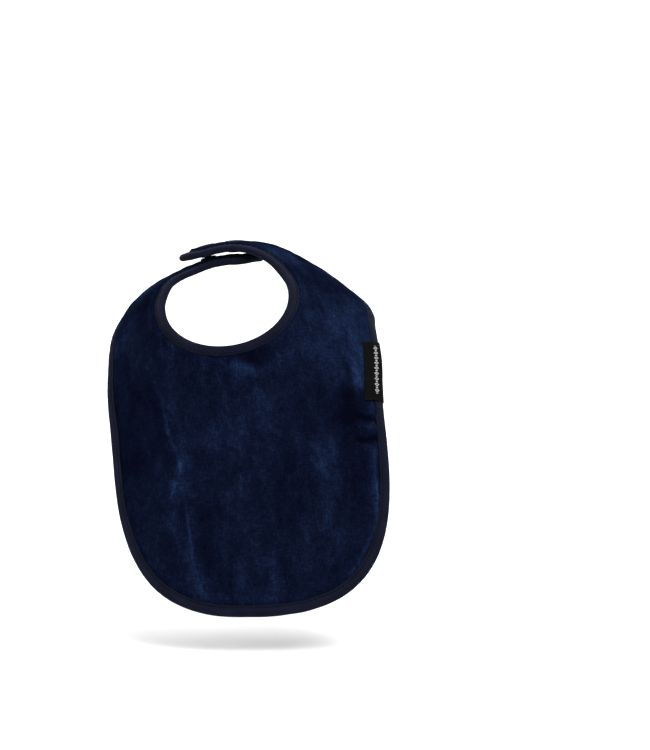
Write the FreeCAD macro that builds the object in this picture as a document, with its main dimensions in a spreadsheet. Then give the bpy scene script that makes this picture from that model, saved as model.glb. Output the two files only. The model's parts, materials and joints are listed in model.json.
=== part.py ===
"""Baby bib in layered fabric, in its worn shape, millimetres.

Frame: +Z up, the apron hangs down and faces -Y, +X is the side of the woven label.
The origin is the centre of the neck opening's ring.

The bib is a sheet that leaves the neck ring as a shallow collar and turns down into
the apron.  A point of the sheet has two sheet coordinates: sigma, the distance along
the cloth from the neckline, and psi, the angle round the neck (0 at the front,
positive towards +X).  Every cloth piece is a band between two offsets of that sheet.
"""
import FreeCAD, Part
import Sketcher
import math
import os

doc = FreeCAD.newDocument("baby_bib")
Vector = FreeCAD.Vector

# ---------------------------------------------------------------- driving dimensions
# Alias, value, note.  Lengths in millimetres, angles in degrees.
DIMENSIONS = [
    # the drape of the sheet
    ("neck_ring_radius", 40.093, "radius of the neckline ring as worn"),
    ("neck_tilt", 47.806, "tilt of the neck axis at the neckline, from vertical"),
    ("apron_tilt", 20.546, "tilt of the axis once the cloth hangs"),
    ("neck_tilt_heading", -8.395, "heading of the tilt at the neckline"),
    ("apron_tilt_heading", -26.549, "heading of the tilt in the apron"),
    ("front_heading", -0.627, "heading of the front centre line"),
    ("collar_flare", 57.549, "flare of the cloth at the neckline, from the axis"),
    ("apron_flare", 44.546, "flare of the cloth in the apron"),
    ("turn_length", 62.236, "distance from the neckline over which the collar turns down"),
    ("view_pitch", 3.0, "pitch between the drape's own axes and the level"),
    ("width_sin_fade", 1.9, "psi at which the width's sine series fades, radians"),
    # closure tabs
    ("fold_angle", 130.0, "psi of the fold line between shoulder and tab"),
    ("fold_gap", 0.5, "clearance at each fold line"),
    ("tab_side_end", 192.0, "psi where a tab's straight edges end"),
    ("tab_tip_reach", 15.0, "further psi reached by the rounded tip"),
    ("tab_lift", 4.25, "how far each tab is lifted clear of the middle sheet"),
    ("lift_start", 115.0, "psi where the tabs start to part"),
    ("lift_span", 45.0, "psi over which they part"),
    # layers, as offsets from the middle sheet; plus is the velour side
    ("velour_low", 0.25, "velour, inner offset"),
    ("velour_high", 1.75, "velour, outer offset"),
    ("core_low", -1.00, "towelling core of the body, lower offset"),
    ("core_high", 0.05, "towelling core, upper offset"),
    ("tab_core_low", -0.45, "towelling core of the tabs, lower offset"),
    ("patch_low", -0.95, "stay patch, lower offset"),
    ("patch_high", -0.65, "stay patch, upper offset"),
    ("backing_low", -1.60, "waterproof backing, outer offset"),
    ("backing_high", -1.20, "waterproof backing, inner offset"),
    ("layer_inset", 0.95, "cut edge of the layers inside the finished edge"),
    # binding tape
    ("tape_lip", 6.6, "width of the tape on each face"),
    ("tape_thickness", 0.5, "thickness of the tape"),
    ("tape_face", 1.95, "offset where the tape starts on the velour side"),
    ("tape_back", -1.95, "offset where the tape starts on the backing side"),
    ("stitch_inset", 5.1, "stitch line, from the finished edge"),
    ("stitch_radius", 0.22, "radius of the sewing thread"),
    ("stitch_clear", 0.16, "clearance between thread and cloth"),
    # folded side label
    ("label_low_angle", 56.7, "psi of the label's lower end"),
    ("label_high_angle", 80.6, "psi of the label's upper end"),
    ("label_leg", 14.2, "length of each leg from the edge"),
    ("label_slant_low", 0.14, "lean of the lower end down the edge, per distance from it"),
    ("label_slant_high", 0.38, "the same for the upper end"),
    ("label_thickness", 0.35, "thickness of the side label"),
    # care label
    ("care_angle", -46.0, "psi of the care label's sewn end"),
    ("care_width", 25.0, "width of the care label"),
    ("care_length", 38.0, "length of the care label"),
    ("care_thickness", 0.5, "thickness of the care label"),
    ("care_corner", 2.0, "radius of the loose corners"),
    ("care_inset", 3.4, "sewn end of the care label, inside the tape's lip"),
    ("care_clear", 0.3, "clearance between care label and backing"),
    # press studs
    ("stud_angle", 190.0, "psi of the fastened stud"),
    ("spare_angle", 171.5, "psi of the spare socket"),
    ("cap_radius", 6.2, "radius of a cap"),
    ("cap_rim", 0.45, "height of a cap's rim"),
    ("cap_dome", 1.05, "height of a cap's dome"),
    ("prong_radius", 1.0, "radius of a cap's prong"),
    ("prong_hole", 1.25, "radius of the holes for the prongs"),
    ("socket_radius", 6.0, "radius of the socket's flange"),
    ("socket_flange", 1.2, "thickness of the socket's flange"),
    ("socket_height", 3.0, "height of the socket"),
    ("socket_bore", 2.7, "radius of the socket's bore"),
    ("socket_floor", 1.0, "thickness of the socket's floor"),
    ("socket_neck_radius", 4.3, "outer radius of the socket's neck"),
    ("stud_radius", 5.35, "radius of the stud's flange"),
    ("stud_flange", 1.2, "thickness of the stud's flange"),
    ("stud_height", 3.0, "height of the stud"),
    ("knob_radius", 2.5, "radius of the stud's knob"),
    ("knob_waist", 2.2, "radius below the knob"),
    ("hardware_clear", 0.15, "clearance under each stud flange"),
    ("patch_radius", 8.6, "half width of the stay patches round the studs"),
]
# Width of the sheet from neckline to outer edge: cosine terms of 0 to 8 psi and
# sine terms of 1 to 6 psi.
ORDERS = ("zero", "one", "two", "three", "four", "five", "six", "seven", "eight")
WIDTH_COSINES = [83.547, 60.170, 26.640, 16.551, 3.233, -2.929, -1.305, -1.286, -2.091]
WIDTH_SINES = [4.984, 3.212, -15.228, 17.459, -10.911, 5.639]
for order, value in enumerate(WIDTH_COSINES):
    DIMENSIONS.append(("width_cos_" + ORDERS[order], value, "width, cosine of %d psi" % order))
for order, value in enumerate(WIDTH_SINES, start=1):
    DIMENSIONS.append(("width_sin_" + ORDERS[order], value, "width, sine of %d psi" % order))

sheet = doc.addObject("Spreadsheet::Sheet", "dimensions")
for row, (alias, value, note) in enumerate(DIMENSIONS, start=1):
    sheet.set("A%d" % row, alias.replace("_", " "))
    sheet.set("B%d" % row, "%.6g" % value)
    sheet.set("C%d" % row, note)
    sheet.setAlias("B%d" % row, alias)
doc.recompute()


def dim(alias):
    return float(sheet.get(alias))


def angle(alias):
    """A dimension in degrees, as radians."""
    return math.radians(dim(alias))


# ---------------------------------------------------------------- the middle sheet
NECK_RADIUS = dim("neck_ring_radius")
NECK_TILT, APRON_TILT = angle("neck_tilt"), angle("apron_tilt")
NECK_HEADING, APRON_HEADING = angle("neck_tilt_heading"), angle("apron_tilt_heading")
FRONT_HEADING = angle("front_heading")
COLLAR_FLARE, APRON_FLARE = angle("collar_flare"), angle("apron_flare")
TURN_LENGTH = dim("turn_length")
PITCH = angle("view_pitch")
COSINES = [dim("width_cos_" + word) for word in ORDERS]
SINES = [dim("width_sin_" + word) for word in ORDERS[1:len(WIDTH_SINES) + 1]]
FADE = dim("width_sin_fade")
FOLD = angle("fold_angle")
TAB_LIFT = dim("tab_lift")
LIFT_START, LIFT_SPAN = angle("lift_start"), angle("lift_span")
HALF_GAP = 0.5 * dim("fold_gap")


def smooth(x):
    """Smooth step from 0 to 1."""
    x = min(max(x, 0.0), 1.0)
    return x * x * (3.0 - 2.0 * x)


def level(drape):
    """The drape's own axes (y up, z to the front) to the part's axes."""
    cosine, sine = math.cos(PITCH), math.sin(PITCH)
    return Vector(drape.x, drape.y * sine - drape.z * cosine, drape.y * cosine + drape.z * sine)


frames = {}


def axes_at(sigma):
    """Axis, front and side directions and flare of the ring at sigma."""
    key = round(sigma, 4)
    if key not in frames:
        turn = smooth(key / TURN_LENGTH)
        tilt = NECK_TILT + (APRON_TILT - NECK_TILT) * turn
        heading = NECK_HEADING + (APRON_HEADING - NECK_HEADING) * turn
        flare = COLLAR_FLARE + (APRON_FLARE - COLLAR_FLARE) * turn
        axis = Vector(math.sin(tilt) * math.sin(heading), math.cos(tilt),
                      math.sin(tilt) * math.cos(heading))
        ahead = Vector(math.sin(FRONT_HEADING), 0, math.cos(FRONT_HEADING))
        front = ahead - axis * ahead.dot(axis)
        front.normalize()
        side = axis.cross(front)
        if side.x < 0:
            side = side * -1.0
        frames[key] = (level(axis), level(front), level(side), flare)
    return frames[key]


def run_parts(sigma):
    """The direction away from the neck: a fixed part, and the parts that go with
    the cosine and the sine of psi."""
    axis, front, side, flare = axes_at(sigma)
    return axis * -math.cos(flare), front * math.sin(flare), side * math.sin(flare)


# The position is the integral of the run direction, which is linear in three fixed
# vectors per sigma, so three running sums serve every psi.
SUM_STEP = 0.5
SUM_COUNT = 420
sums = [(Vector(), Vector(), Vector())]
for i in range(1, SUM_COUNT):
    before, after = run_parts((i - 1) * SUM_STEP), run_parts(i * SUM_STEP)
    sums.append(tuple(sums[-1][k] + (before[k] + after[k]) * (0.5 * SUM_STEP)
                      for k in range(3)))


def middle(sigma, psi):
    """Point of the middle sheet, without the tabs' lift.  Below 0 it runs straight on."""
    cosine, sine = math.cos(psi), math.sin(psi)
    _, front, side, _ = axes_at(0.0)
    start = (front * cosine + side * sine) * NECK_RADIUS
    if sigma < 0:
        fixed, with_cos, with_sin = (part * sigma for part in run_parts(0.0))
    else:
        steps = sigma / SUM_STEP
        i = min(int(steps), len(sums) - 2)
        rest = steps - i
        fixed, with_cos, with_sin = (
            sums[i][k] * (1 - rest) + sums[i + 1][k] * rest for k in range(3))
    return start + fixed + with_cos * cosine + with_sin * sine


def around(sigma, psi):
    """Change of the middle sheet's point per radian of psi."""
    step = 1e-3
    return (middle(sigma, psi + step) - middle(sigma, psi - step)) * (0.5 / step)


def reach(sigma, psi):
    """Millimetres per radian of psi."""
    return around(sigma, psi).Length


def normal(sigma, psi):
    """Unit normal on the velour side."""
    step = 0.5
    along = middle(sigma + step, psi) - middle(sigma - step, psi)
    square = around(sigma, psi).cross(along)
    square.normalize()
    axis, front, side, flare = axes_at(max(sigma, 0.0))
    outward = ((front * math.cos(psi) + side * math.sin(psi)) * math.cos(flare)
               + axis * math.sin(flare))
    return square if square.dot(outward) > 0 else square * -1.0


def lift(psi):
    """Lift of the tabs: the +X tab to the velour side, the -X tab to the other."""
    return math.copysign(TAB_LIFT * smooth((abs(psi) - LIFT_START) / LIFT_SPAN), psi)


def point(sigma, psi, offset):
    """Point at an offset from the middle sheet, tabs' lift included."""
    return middle(sigma, psi) + normal(sigma, psi) * (offset + lift(psi))


def width(psi):
    """Sheet distance from neckline to finished outer edge."""
    even = sum(term * math.cos(k * psi) for k, term in enumerate(COSINES))
    odd = sum(term * math.sin(k * psi) for k, term in enumerate(SINES, start=1))
    return even + odd * math.exp(-((psi / FADE) ** 4))


def edge_slope(psi):
    """Slope of the outer edge: change of width per millimetre along the neck's way."""
    step = 1e-3
    return (width(psi + step) - width(psi - step)) / (2 * step) / reach(width(psi), psi)


def gap_angle(sigma, psi):
    """Half the fold gap, as an angle of psi."""
    return HALF_GAP / reach(sigma, psi)


# ---------------------------------------------------------------- solids from bands
def solid_of(faces):
    shell = Part.makeShell(faces)
    # Guards against sewing that is refused; the shell is then used as it is.
    try:
        shell.sewShape(1e-4)
    except Exception:
        pass
    if shell.ShapeType != "Shell":
        shell = shell.Shells[0]
    solid = Part.makeSolid(shell)
    if solid.Volume < 0:
        solid.reverse()
    return solid


def rims(surface):
    """The four border edges of a surface."""
    u_low, u_high, v_low, v_high = surface.bounds()
    curves = (surface.uIso(u_low), surface.uIso(u_high),
              surface.vIso(v_low), surface.vIso(v_high))
    return [curve.toShape() for curve in curves]


def band(grid, low, high):
    """Closed solid between two offsets of a grid of sheet coordinates."""
    surfaces = []
    for offset in (low, high):
        surface = Part.BSplineSurface()
        surface.interpolate([[point(sigma, psi, offset) for sigma, psi in line]
                             for line in grid])
        surfaces.append(surface)
    faces = [surface.toShape() for surface in surfaces]
    for low_rim, high_rim in zip(rims(surfaces[0]), rims(surfaces[1])):
        faces.append(Part.makeRuledSurface(low_rim, high_rim))
    return solid_of(faces)


def sweep(lines, caps):
    """Closed solid from a ring of long curves.  lines: one list of points per corner
    of the section; caps: triangles of corner numbers that close each end."""
    count = len(lines[0])
    knots = [i / (count - 1.0) for i in range(count)]
    edges = []
    for line in lines:
        curve = Part.BSplineCurve()
        curve.interpolate(Points=line, Parameters=knots)
        edges.append(curve.toShape())
    faces = [Part.makeRuledSurface(edge, edges[(i + 1) % len(edges)])
             for i, edge in enumerate(edges)]
    for end in (0, -1):
        for triangle in caps:
            corners = [lines[triangle[k]][end] for k in (0, 1, 2, 0)]
            faces.append(Part.Face(Part.makePolygon(corners)))
    return solid_of(faces)


def strip_caps(count):
    """Triangles for a section made of two matched chains of `count` corners."""
    triangles = []
    for i in range(count - 1):
        opposite = 2 * count - 1 - i
        triangles += [(i, i + 1, opposite - 1), (i, opposite - 1, opposite)]
    return triangles


MITRE_REACH = 10.0


def inward(path, i):
    """Sheet direction across a path, per millimetre, towards its left in the plane
    of psi (to the right) and sigma (up)."""
    (sigma_before, psi_before) = path[max(i - 1, 0)]
    (sigma_after, psi_after) = path[min(i + 1, len(path) - 1)]
    sigma, psi = path[i]
    radius = reach(sigma, psi)
    rise, going = sigma_after - sigma_before, (psi_after - psi_before) * radius
    length = math.hypot(rise, going)
    # beside a fold line the section turns to run along the fold, so that both ends
    # meet it squarely
    mitre = smooth(1.0 - abs(abs(psi) - FOLD) * radius / MITRE_REACH)
    if mitre > 0.0 and abs(going) > 0.3 * length:
        return ((1.0 - mitre) * going / length + mitre * length / going,
                -(1.0 - mitre) * rise / length / radius)
    return going / length, -rise / length / radius


def across(path, sign, inset, offset):
    """The path moved in by inset in the sheet and lifted by offset.  sign is 1 where
    the cloth lies on the left of the path, -1 where it lies on the right."""
    points = []
    for i, (sigma, psi) in enumerate(path):
        sigma_step, psi_step = inward(path, i)
        points.append(point(sigma + sign * sigma_step * inset,
                            psi + sign * psi_step * inset, offset))
    return points


# ---------------------------------------------------------------- sheet regions
INSET = dim("layer_inset")
SIDE_END, TIP_REACH = angle("tab_side_end"), angle("tab_tip_reach")


def body_grid(rows=97, columns=23):
    """Sheet coordinates of the body panel, from fold line to fold line."""
    grid = []
    for i in range(rows):
        share = i / (rows - 1.0) * 2 - 1
        psi = share * FOLD
        # the inset is square to the edge, so it grows along sigma where the edge slants
        outer_inset = INSET * math.hypot(1.0, edge_slope(psi))
        line = []
        for j in range(columns):
            sigma = INSET + j / (columns - 1.0) * (width(psi) - INSET - outer_inset)
            line.append((sigma, psi - share * gap_angle(sigma, psi)))
        grid.append(line)
    return grid


# Share of a quarter turn to each side that a tab's last row takes round the tip.
TIP_BOW = 0.86 * math.pi / 2


def tab_grid(side, rows=25, columns=19):
    """Sheet coordinates of a tab, from its fold line to its rounded tip."""
    inset_angle = INSET / reach(20, side * SIDE_END)
    grid = []
    for i in range(rows):
        out = i / (rows - 1.0)
        mix = out ** 1.5
        line = []
        for j in range(columns):
            x = 2 * j / (columns - 1.0) - 1
            bow = math.sin(TIP_BOW * x) / math.sin(TIP_BOW)
            tip = (math.cos(TIP_BOW * x) - math.cos(TIP_BOW)) / (1 - math.cos(TIP_BOW))
            bowed = (1 - mix) * x + mix * bow
            end = SIDE_END + TIP_REACH * tip - inset_angle
            psi = FOLD + out * (end - FOLD)
            edge_psi = side * min(psi, SIDE_END)
            top = width(edge_psi) - INSET * math.hypot(1.0, edge_slope(edge_psi))
            sigma = INSET + 0.5 * (1.0 + bowed) * (top - INSET)
            psi += (1 - out) * gap_angle(sigma, psi)
            line.append((sigma, side * psi))
        grid.append(line)
    return grid


def tab_outline(side, side_steps=14, tip_steps=16):
    """Path of a tab's finished edge: outer edge, tip, neckline."""
    span = SIDE_END - FOLD
    path = []
    for i in range(side_steps):
        psi = FOLD + span * i / side_steps
        if i == 0:
            psi += gap_angle(30, psi)
        path.append((width(side * psi), side * psi))
    full = width(side * SIDE_END)
    for i in range(tip_steps + 1):
        turn = (1 - 2.0 * i / tip_steps) * math.pi / 2
        path.append((full * (0.5 + 0.5 * math.sin(turn)),
                     side * (SIDE_END + TIP_REACH * math.cos(turn))))
    for i in range(1, side_steps + 1):
        psi = SIDE_END - span * i / side_steps
        if i == side_steps:
            psi += gap_angle(0, psi)
        path.append((0.0, side * psi))
    return path


def edge_path(count):
    """Outer edge of the body, psi growing."""
    path = []
    for i in range(count):
        share = 2.0 * i / (count - 1) - 1
        psi = share * FOLD
        path.append((width(psi), psi - share * gap_angle(width(psi), psi)))
    return path


def neck_path(count):
    """Neckline of the body, psi growing."""
    end = FOLD - gap_angle(0.0, FOLD)
    return [(0.0, (2.0 * i / (count - 1) - 1) * end) for i in range(count)]


pieces = []


def add(label, shape):
    feature = doc.addObject("Part::Feature", label)
    feature.Shape = shape
    pieces.append(feature)


# ---------------------------------------------------------------- body panel layers
VELOUR = (dim("velour_low"), dim("velour_high"))
BACKING = (dim("backing_low"), dim("backing_high"))
CLOTH_FACE, CLOTH_BACK = VELOUR[1], BACKING[0]

panel = body_grid()
add("velour_panel", band(panel, *VELOUR))
add("towelling_core", band(panel, dim("core_low"), dim("core_high")))
add("waterproof_backing", band(panel, *BACKING))

# ---------------------------------------------------------------- bindings and threads
LIP = dim("tape_lip")
FACE, BACK = dim("tape_face"), dim("tape_back")
HIGH, LOW = FACE + dim("tape_thickness"), BACK - dim("tape_thickness")

# Section of the binding, (inset, offset): face leg, rounded turn over the edge, back leg.
TAPE_OUTSIDE = [
    (LIP, HIGH), (LIP * 0.5, HIGH), (0.9, HIGH), (0.28, HIGH - 0.45), (0.0, HIGH - 1.3),
    (0.0, LOW + 1.3), (0.28, LOW + 0.45), (0.9, LOW), (LIP * 0.5, LOW), (LIP, LOW),
]
TAPE_INSIDE = [
    (LIP, FACE), (LIP * 0.5, FACE), (1.1, FACE), (0.65, FACE - 0.25), (0.5, FACE - 1.0),
    (0.5, BACK + 1.0), (0.65, BACK + 0.25), (1.1, BACK), (LIP * 0.5, BACK), (LIP, BACK),
]

SEAM, CORD, CLEAR = dim("stitch_inset"), dim("stitch_radius"), dim("stitch_clear")
ON_FACE = HIGH + CLEAR + CORD
ON_BACK = LOW - CLEAR - CORD
THREAD_CAPS = [(0, k, k + 1) for k in range(1, 5)]


def thread_section(inset, offset):
    """Six corners (inset, offset) of a sewing thread."""
    turns = [math.pi * (k + 0.5) / 3 for k in range(6)]
    return [(inset + CORD * math.cos(turn), offset + CORD * math.sin(turn)) for turn in turns]


def bind(prefix, path, sign):
    """Folded tape along a finished edge, with its needle and bobbin threads."""
    corners = TAPE_OUTSIDE + TAPE_INSIDE[::-1]
    add(prefix + "_binding", sweep([across(path, sign, *corner) for corner in corners],
                                   strip_caps(len(TAPE_OUTSIDE))))
    for thread, offset in (("_needle_thread", ON_FACE), ("_bobbin_thread", ON_BACK)):
        lines = [across(path, sign, *corner) for corner in thread_section(SEAM, offset)]
        add(prefix + thread, sweep(lines, THREAD_CAPS))


# The cloth lies towards smaller sigma from the outer edge, larger from the neckline.
bind("outer", edge_path(97), -1)
bind("neck", neck_path(41), 1)

# ---------------------------------------------------------------- folded side label
LEG, LABEL_THICK = dim("label_leg"), dim("label_thickness")
LABEL_LOW, LABEL_HIGH = angle("label_low_angle"), angle("label_high_angle")
SLANT_LOW, SLANT_HIGH = dim("label_slant_low"), dim("label_slant_high")
LABEL_STEPS = 16
# Inner faces of the label: over the binding's threads, and flat on the cloth.
TOP, BOTTOM = ON_FACE + CORD + CLEAR, ON_BACK - CORD - CLEAR
FLAT_FACE, FLAT_BACK = CLOTH_FACE + CLEAR, CLOTH_BACK - CLEAR
# Section of the label, (inset, offset): face leg, step over the binding, turn round
# the edge, and the same on the back.
LABEL_OUTSIDE = [
    (LEG, FLAT_FACE + LABEL_THICK), (LIP + 3.0, FLAT_FACE + LABEL_THICK),
    (LIP + 0.6, TOP + LABEL_THICK), (1.2, TOP + LABEL_THICK),
    (-0.45, TOP - 0.7), (-0.62, 0.9), (-0.62, -0.9), (-0.45, BOTTOM + 0.7),
    (1.2, BOTTOM - LABEL_THICK), (LIP + 0.6, BOTTOM - LABEL_THICK),
    (LIP + 3.0, FLAT_BACK - LABEL_THICK), (LEG, FLAT_BACK - LABEL_THICK),
]
LABEL_INSIDE = [
    (LEG, FLAT_FACE), (LIP + 2.7, FLAT_FACE), (LIP + 0.45, TOP), (1.2, TOP),
    (-0.1, TOP - 0.9), (-0.25, 0.9), (-0.25, -0.9), (-0.1, BOTTOM + 0.9),
    (1.2, BOTTOM), (LIP + 0.45, BOTTOM), (LIP + 2.7, FLAT_BACK), (LEG, FLAT_BACK),
]
LABEL_SEAM = LEG - 1.3


def label_line(inset, offset):
    """Line along the label at a distance inside the edge; its ends lean down the edge."""
    path = []
    for i in range(LABEL_STEPS + 1):
        share = i / float(LABEL_STEPS)
        psi = LABEL_LOW + (LABEL_HIGH - LABEL_LOW) * share
        slant = SLANT_LOW + (SLANT_HIGH - SLANT_LOW) * share
        edge_length = reach(width(psi), psi) * math.hypot(1.0, edge_slope(psi))
        psi -= slant * max(inset, 0.0) / edge_length
        path.append((width(psi), psi))
    return across(path, -1, inset, offset)


add("side_label", sweep(
    [label_line(*corner) for corner in LABEL_OUTSIDE + LABEL_INSIDE[::-1]],
    strip_caps(len(LABEL_OUTSIDE))))
# the thread stops one station short of each end of the label
label_thread = thread_section(LABEL_SEAM, FLAT_FACE + LABEL_THICK + CLEAR + CORD)
add("side_label_thread", sweep(
    [label_line(*corner)[1:LABEL_STEPS] for corner in label_thread], THREAD_CAPS))


# ---------------------------------------------------------------- sketched bodies
def sketched_body(label, sketch_name, plane_role):
    """A body with an empty sketch on one of its own base planes."""
    body = doc.addObject("PartDesign::Body", label)
    sketch = body.newObject("Sketcher::SketchObject", sketch_name)
    plane = [item for item in body.Origin.OriginFeatures if item.Role == plane_role][0]
    sketch.AttachmentSupport = [(plane, "")]
    sketch.MapMode = "FlatFace"
    return body, sketch


def draw_loop(sketch, corners):
    """Closed outline of straight lines; line i starts at corner i."""
    count = len(corners)
    for i in range(count):
        start, end = corners[i], corners[(i + 1) % count]
        sketch.addGeometry(
            Part.LineSegment(Vector(start[0], start[1], 0), Vector(end[0], end[1], 0)), False)
    for i in range(count):
        sketch.addConstraint(Sketcher.Constraint("Coincident", i, 2, (i + 1) % count, 1))


def fix_corner(sketch, i, axis, value, drives):
    """Hold one coordinate of a corner, bound to the spreadsheet where drives says so."""
    if abs(value) < 1e-9:
        # the vertical axis is geometry -2, the horizontal one -1
        sketch.addConstraint(
            Sketcher.Constraint("PointOnObject", i, 1, -2 if axis == "x" else -1))
        return
    number = sketch.addConstraint(
        Sketcher.Constraint("Distance" + axis.upper(), -1, 1, i, 1, value))
    name = "p%s%s" % (axis, chr(97 + i))
    sketch.renameConstraint(number, name)
    if i in drives:
        sketch.setExpression("Constraints." + name, drives[i])


def turned_body(label, corners, x_drives, y_drives):
    """A body turned about its Z from a half section of (radius, height) corners.
    The drives give the expressions by corner number."""
    body, sketch = sketched_body(label, label + "_section", "XZ_Plane")
    draw_loop(sketch, corners)
    for i, (x, y) in enumerate(corners):
        fix_corner(sketch, i, "x", x, x_drives)
        fix_corner(sketch, i, "y", y, y_drives)
    doc.recompute()
    turn = body.newObject("PartDesign::Revolution", label + "_turn")
    turn.Profile = sketch
    turn.ReferenceAxis = (sketch, ["V_Axis"])
    turn.Angle = 360.0
    body.Tip = turn
    doc.recompute()
    return body


# ---------------------------------------------------------------- press studs
HOLE = dim("prong_hole")
CAP_RADIUS = dim("cap_radius")
SOCKET_RADIUS, SOCKET_FLOOR = dim("socket_radius"), dim("socket_floor")
STUD_RADIUS, STUD_HEIGHT = dim("stud_radius"), dim("stud_height")
HARDWARE_CLEAR = dim("hardware_clear")
STUD_ANGLE, SPARE_ANGLE = dim("stud_angle"), dim("spare_angle")
KNOB_ROOF = 0.8            # thickness of the knob's closed end
SOCKET_PRONG_SHORT = 0.15  # prong ends this far short of the bore's bottom
STUD_PRONG_SHORT = 0.25    # prong ends this far short of the knob's roof


def cap(label, prong):
    """Domed cap above z = 0 with its prong below."""
    rim, dome, prong_radius = dim("cap_rim"), dim("cap_dome"), dim("prong_radius")
    rise = dome - rim
    corners = [
        (0, -prong), (prong_radius * 0.6, -prong), (prong_radius, -prong + 0.7),
        (prong_radius, 0), (CAP_RADIUS - 0.25, 0), (CAP_RADIUS, 0.2), (CAP_RADIUS, rim),
        (CAP_RADIUS * 0.93, rim + rise * 0.35), (CAP_RADIUS * 0.72, rim + rise * 0.75),
        (CAP_RADIUS * 0.4, dome - 0.04), (0, dome),
    ]
    x_drives = {
        1: "dimensions.prong_radius * 0.6", 2: "dimensions.prong_radius",
        3: "dimensions.prong_radius", 4: "dimensions.cap_radius - 0.25",
        5: "dimensions.cap_radius", 6: "dimensions.cap_radius",
    }
    y_drives = {6: "dimensions.cap_rim", 10: "dimensions.cap_dome"}
    return turned_body(label, corners, x_drives, y_drives)


def socket(label):
    """Socket below z = 0, its bore open downwards."""
    flange, height = dim("socket_flange"), dim("socket_height")
    bore, neck = dim("socket_bore"), dim("socket_neck_radius")
    corners = [
        (HOLE, 0), (SOCKET_RADIUS - 0.3, 0), (SOCKET_RADIUS, -0.3),
        (SOCKET_RADIUS, -flange + 0.3), (SOCKET_RADIUS - 0.4, -flange),
        (neck + 0.2, -flange - 0.15), (neck, -height + 0.4), (neck - 0.35, -height),
        (bore, -height), (bore, -SOCKET_FLOOR), (HOLE, -SOCKET_FLOOR),
    ]
    x_drives = {
        0: "dimensions.prong_hole", 2: "dimensions.socket_radius",
        3: "dimensions.socket_radius", 6: "dimensions.socket_neck_radius",
        8: "dimensions.socket_bore", 9: "dimensions.socket_bore",
        10: "dimensions.prong_hole",
    }
    y_drives = {
        4: "-dimensions.socket_flange", 7: "-dimensions.socket_height",
        8: "-dimensions.socket_height", 9: "-dimensions.socket_floor",
        10: "-dimensions.socket_floor",
    }
    return turned_body(label, corners, x_drives, y_drives)


def stud(label):
    """Stud above z = 0: flange, waist and knob, hollow for the prong."""
    flange, knob, waist = dim("stud_flange"), dim("knob_radius"), dim("knob_waist")
    corners = [
        (HOLE, 0), (STUD_RADIUS - 0.25, 0), (STUD_RADIUS, 0.25),
        (STUD_RADIUS, flange - 0.35), (STUD_RADIUS - 0.5, flange), (waist + 0.5, flange),
        (waist, flange + 0.35), (knob, STUD_HEIGHT - 0.85), (knob, STUD_HEIGHT - 0.5),
        (knob - 0.45, STUD_HEIGHT), (0, STUD_HEIGHT), (0, STUD_HEIGHT - KNOB_ROOF),
        (HOLE, STUD_HEIGHT - KNOB_ROOF),
    ]
    x_drives = {
        0: "dimensions.prong_hole", 2: "dimensions.stud_radius",
        3: "dimensions.stud_radius", 6: "dimensions.knob_waist",
        7: "dimensions.knob_radius", 8: "dimensions.knob_radius",
        12: "dimensions.prong_hole",
    }
    y_drives = {
        4: "dimensions.stud_flange", 5: "dimensions.stud_flange",
        9: "dimensions.stud_height", 10: "dimensions.stud_height",
    }
    return turned_body(label, corners, x_drives, y_drives)


def on_axis(base, axis):
    """Placement at base with Z along the axis."""
    return FreeCAD.Placement(base, FreeCAD.Rotation(Vector(0, 0, 1), axis))


def place(body, base, axis):
    body.Placement = on_axis(base, axis)
    pieces.append(body)


def stud_frame(degrees):
    """Centre on the middle sheet (no lift) and the outward axis at a stud."""
    psi = math.radians(degrees)
    sigma = 0.5 * width(psi)
    return middle(sigma, psi), normal(sigma, psi)


def psi_on(side, degrees):
    """psi of a stud on the +X tab (side 1) or on the -X tab (side -1), whose psi is
    negative."""
    return math.radians(degrees if side > 0 else degrees - 360.0)


def seat(psi, offset, radius, outward, centre, axis):
    """Height along the axis that clears the cloth face at offset under a disc;
    outward is 1 on the velour side and -1 on the backing side."""
    sigma = 0.5 * width(psi)
    per_radian = reach(sigma, psi)
    found = []
    for ring in (0.0, 0.5 * radius, radius):
        for k in range(16):
            turn = k * math.pi / 8
            spot = point(sigma + ring * math.cos(turn),
                         psi + ring * math.sin(turn) / per_radian, offset)
            found.append((spot - centre).dot(axis))
    return (max(found) if outward > 0 else min(found)) + outward * HARDWARE_CLEAR


def seats(degrees, side, face_radius, back_radius):
    """Centre, axis and seat heights of the pieces on both faces of a tab."""
    centre, axis = stud_frame(degrees)
    psi = psi_on(side, degrees)
    top = seat(psi, CLOTH_FACE, face_radius, 1, centre, axis)
    low = seat(psi, CLOTH_BACK, back_radius, -1, centre, axis)
    return centre, axis, top, low


# Two sockets under the +X tab, with their caps on its velour face.
for name, degrees in (("tip", STUD_ANGLE), ("spare", SPARE_ANGLE)):
    centre, axis, top, low = seats(degrees, 1, CAP_RADIUS, SOCKET_RADIUS)
    prong = top - low + SOCKET_FLOOR - SOCKET_PRONG_SHORT
    place(cap("socket_cap_" + name, prong), centre + axis * top, axis)
    place(socket("socket_" + name), centre + axis * low, axis)

# The stud on the velour face of the -X tab, with its cap on the backing.
centre, axis, top, low = seats(STUD_ANGLE, -1, STUD_RADIUS, CAP_RADIUS)
place(stud("stud"), centre + axis * top, axis)
prong = top - low + STUD_HEIGHT - KNOB_ROOF - STUD_PRONG_SHORT
place(cap("stud_cap", prong), centre + axis * low, axis * -1.0)

# ---------------------------------------------------------------- closure tabs
DRILL_LENGTH = 24.0
PATCH_RADIUS = dim("patch_radius")


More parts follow.
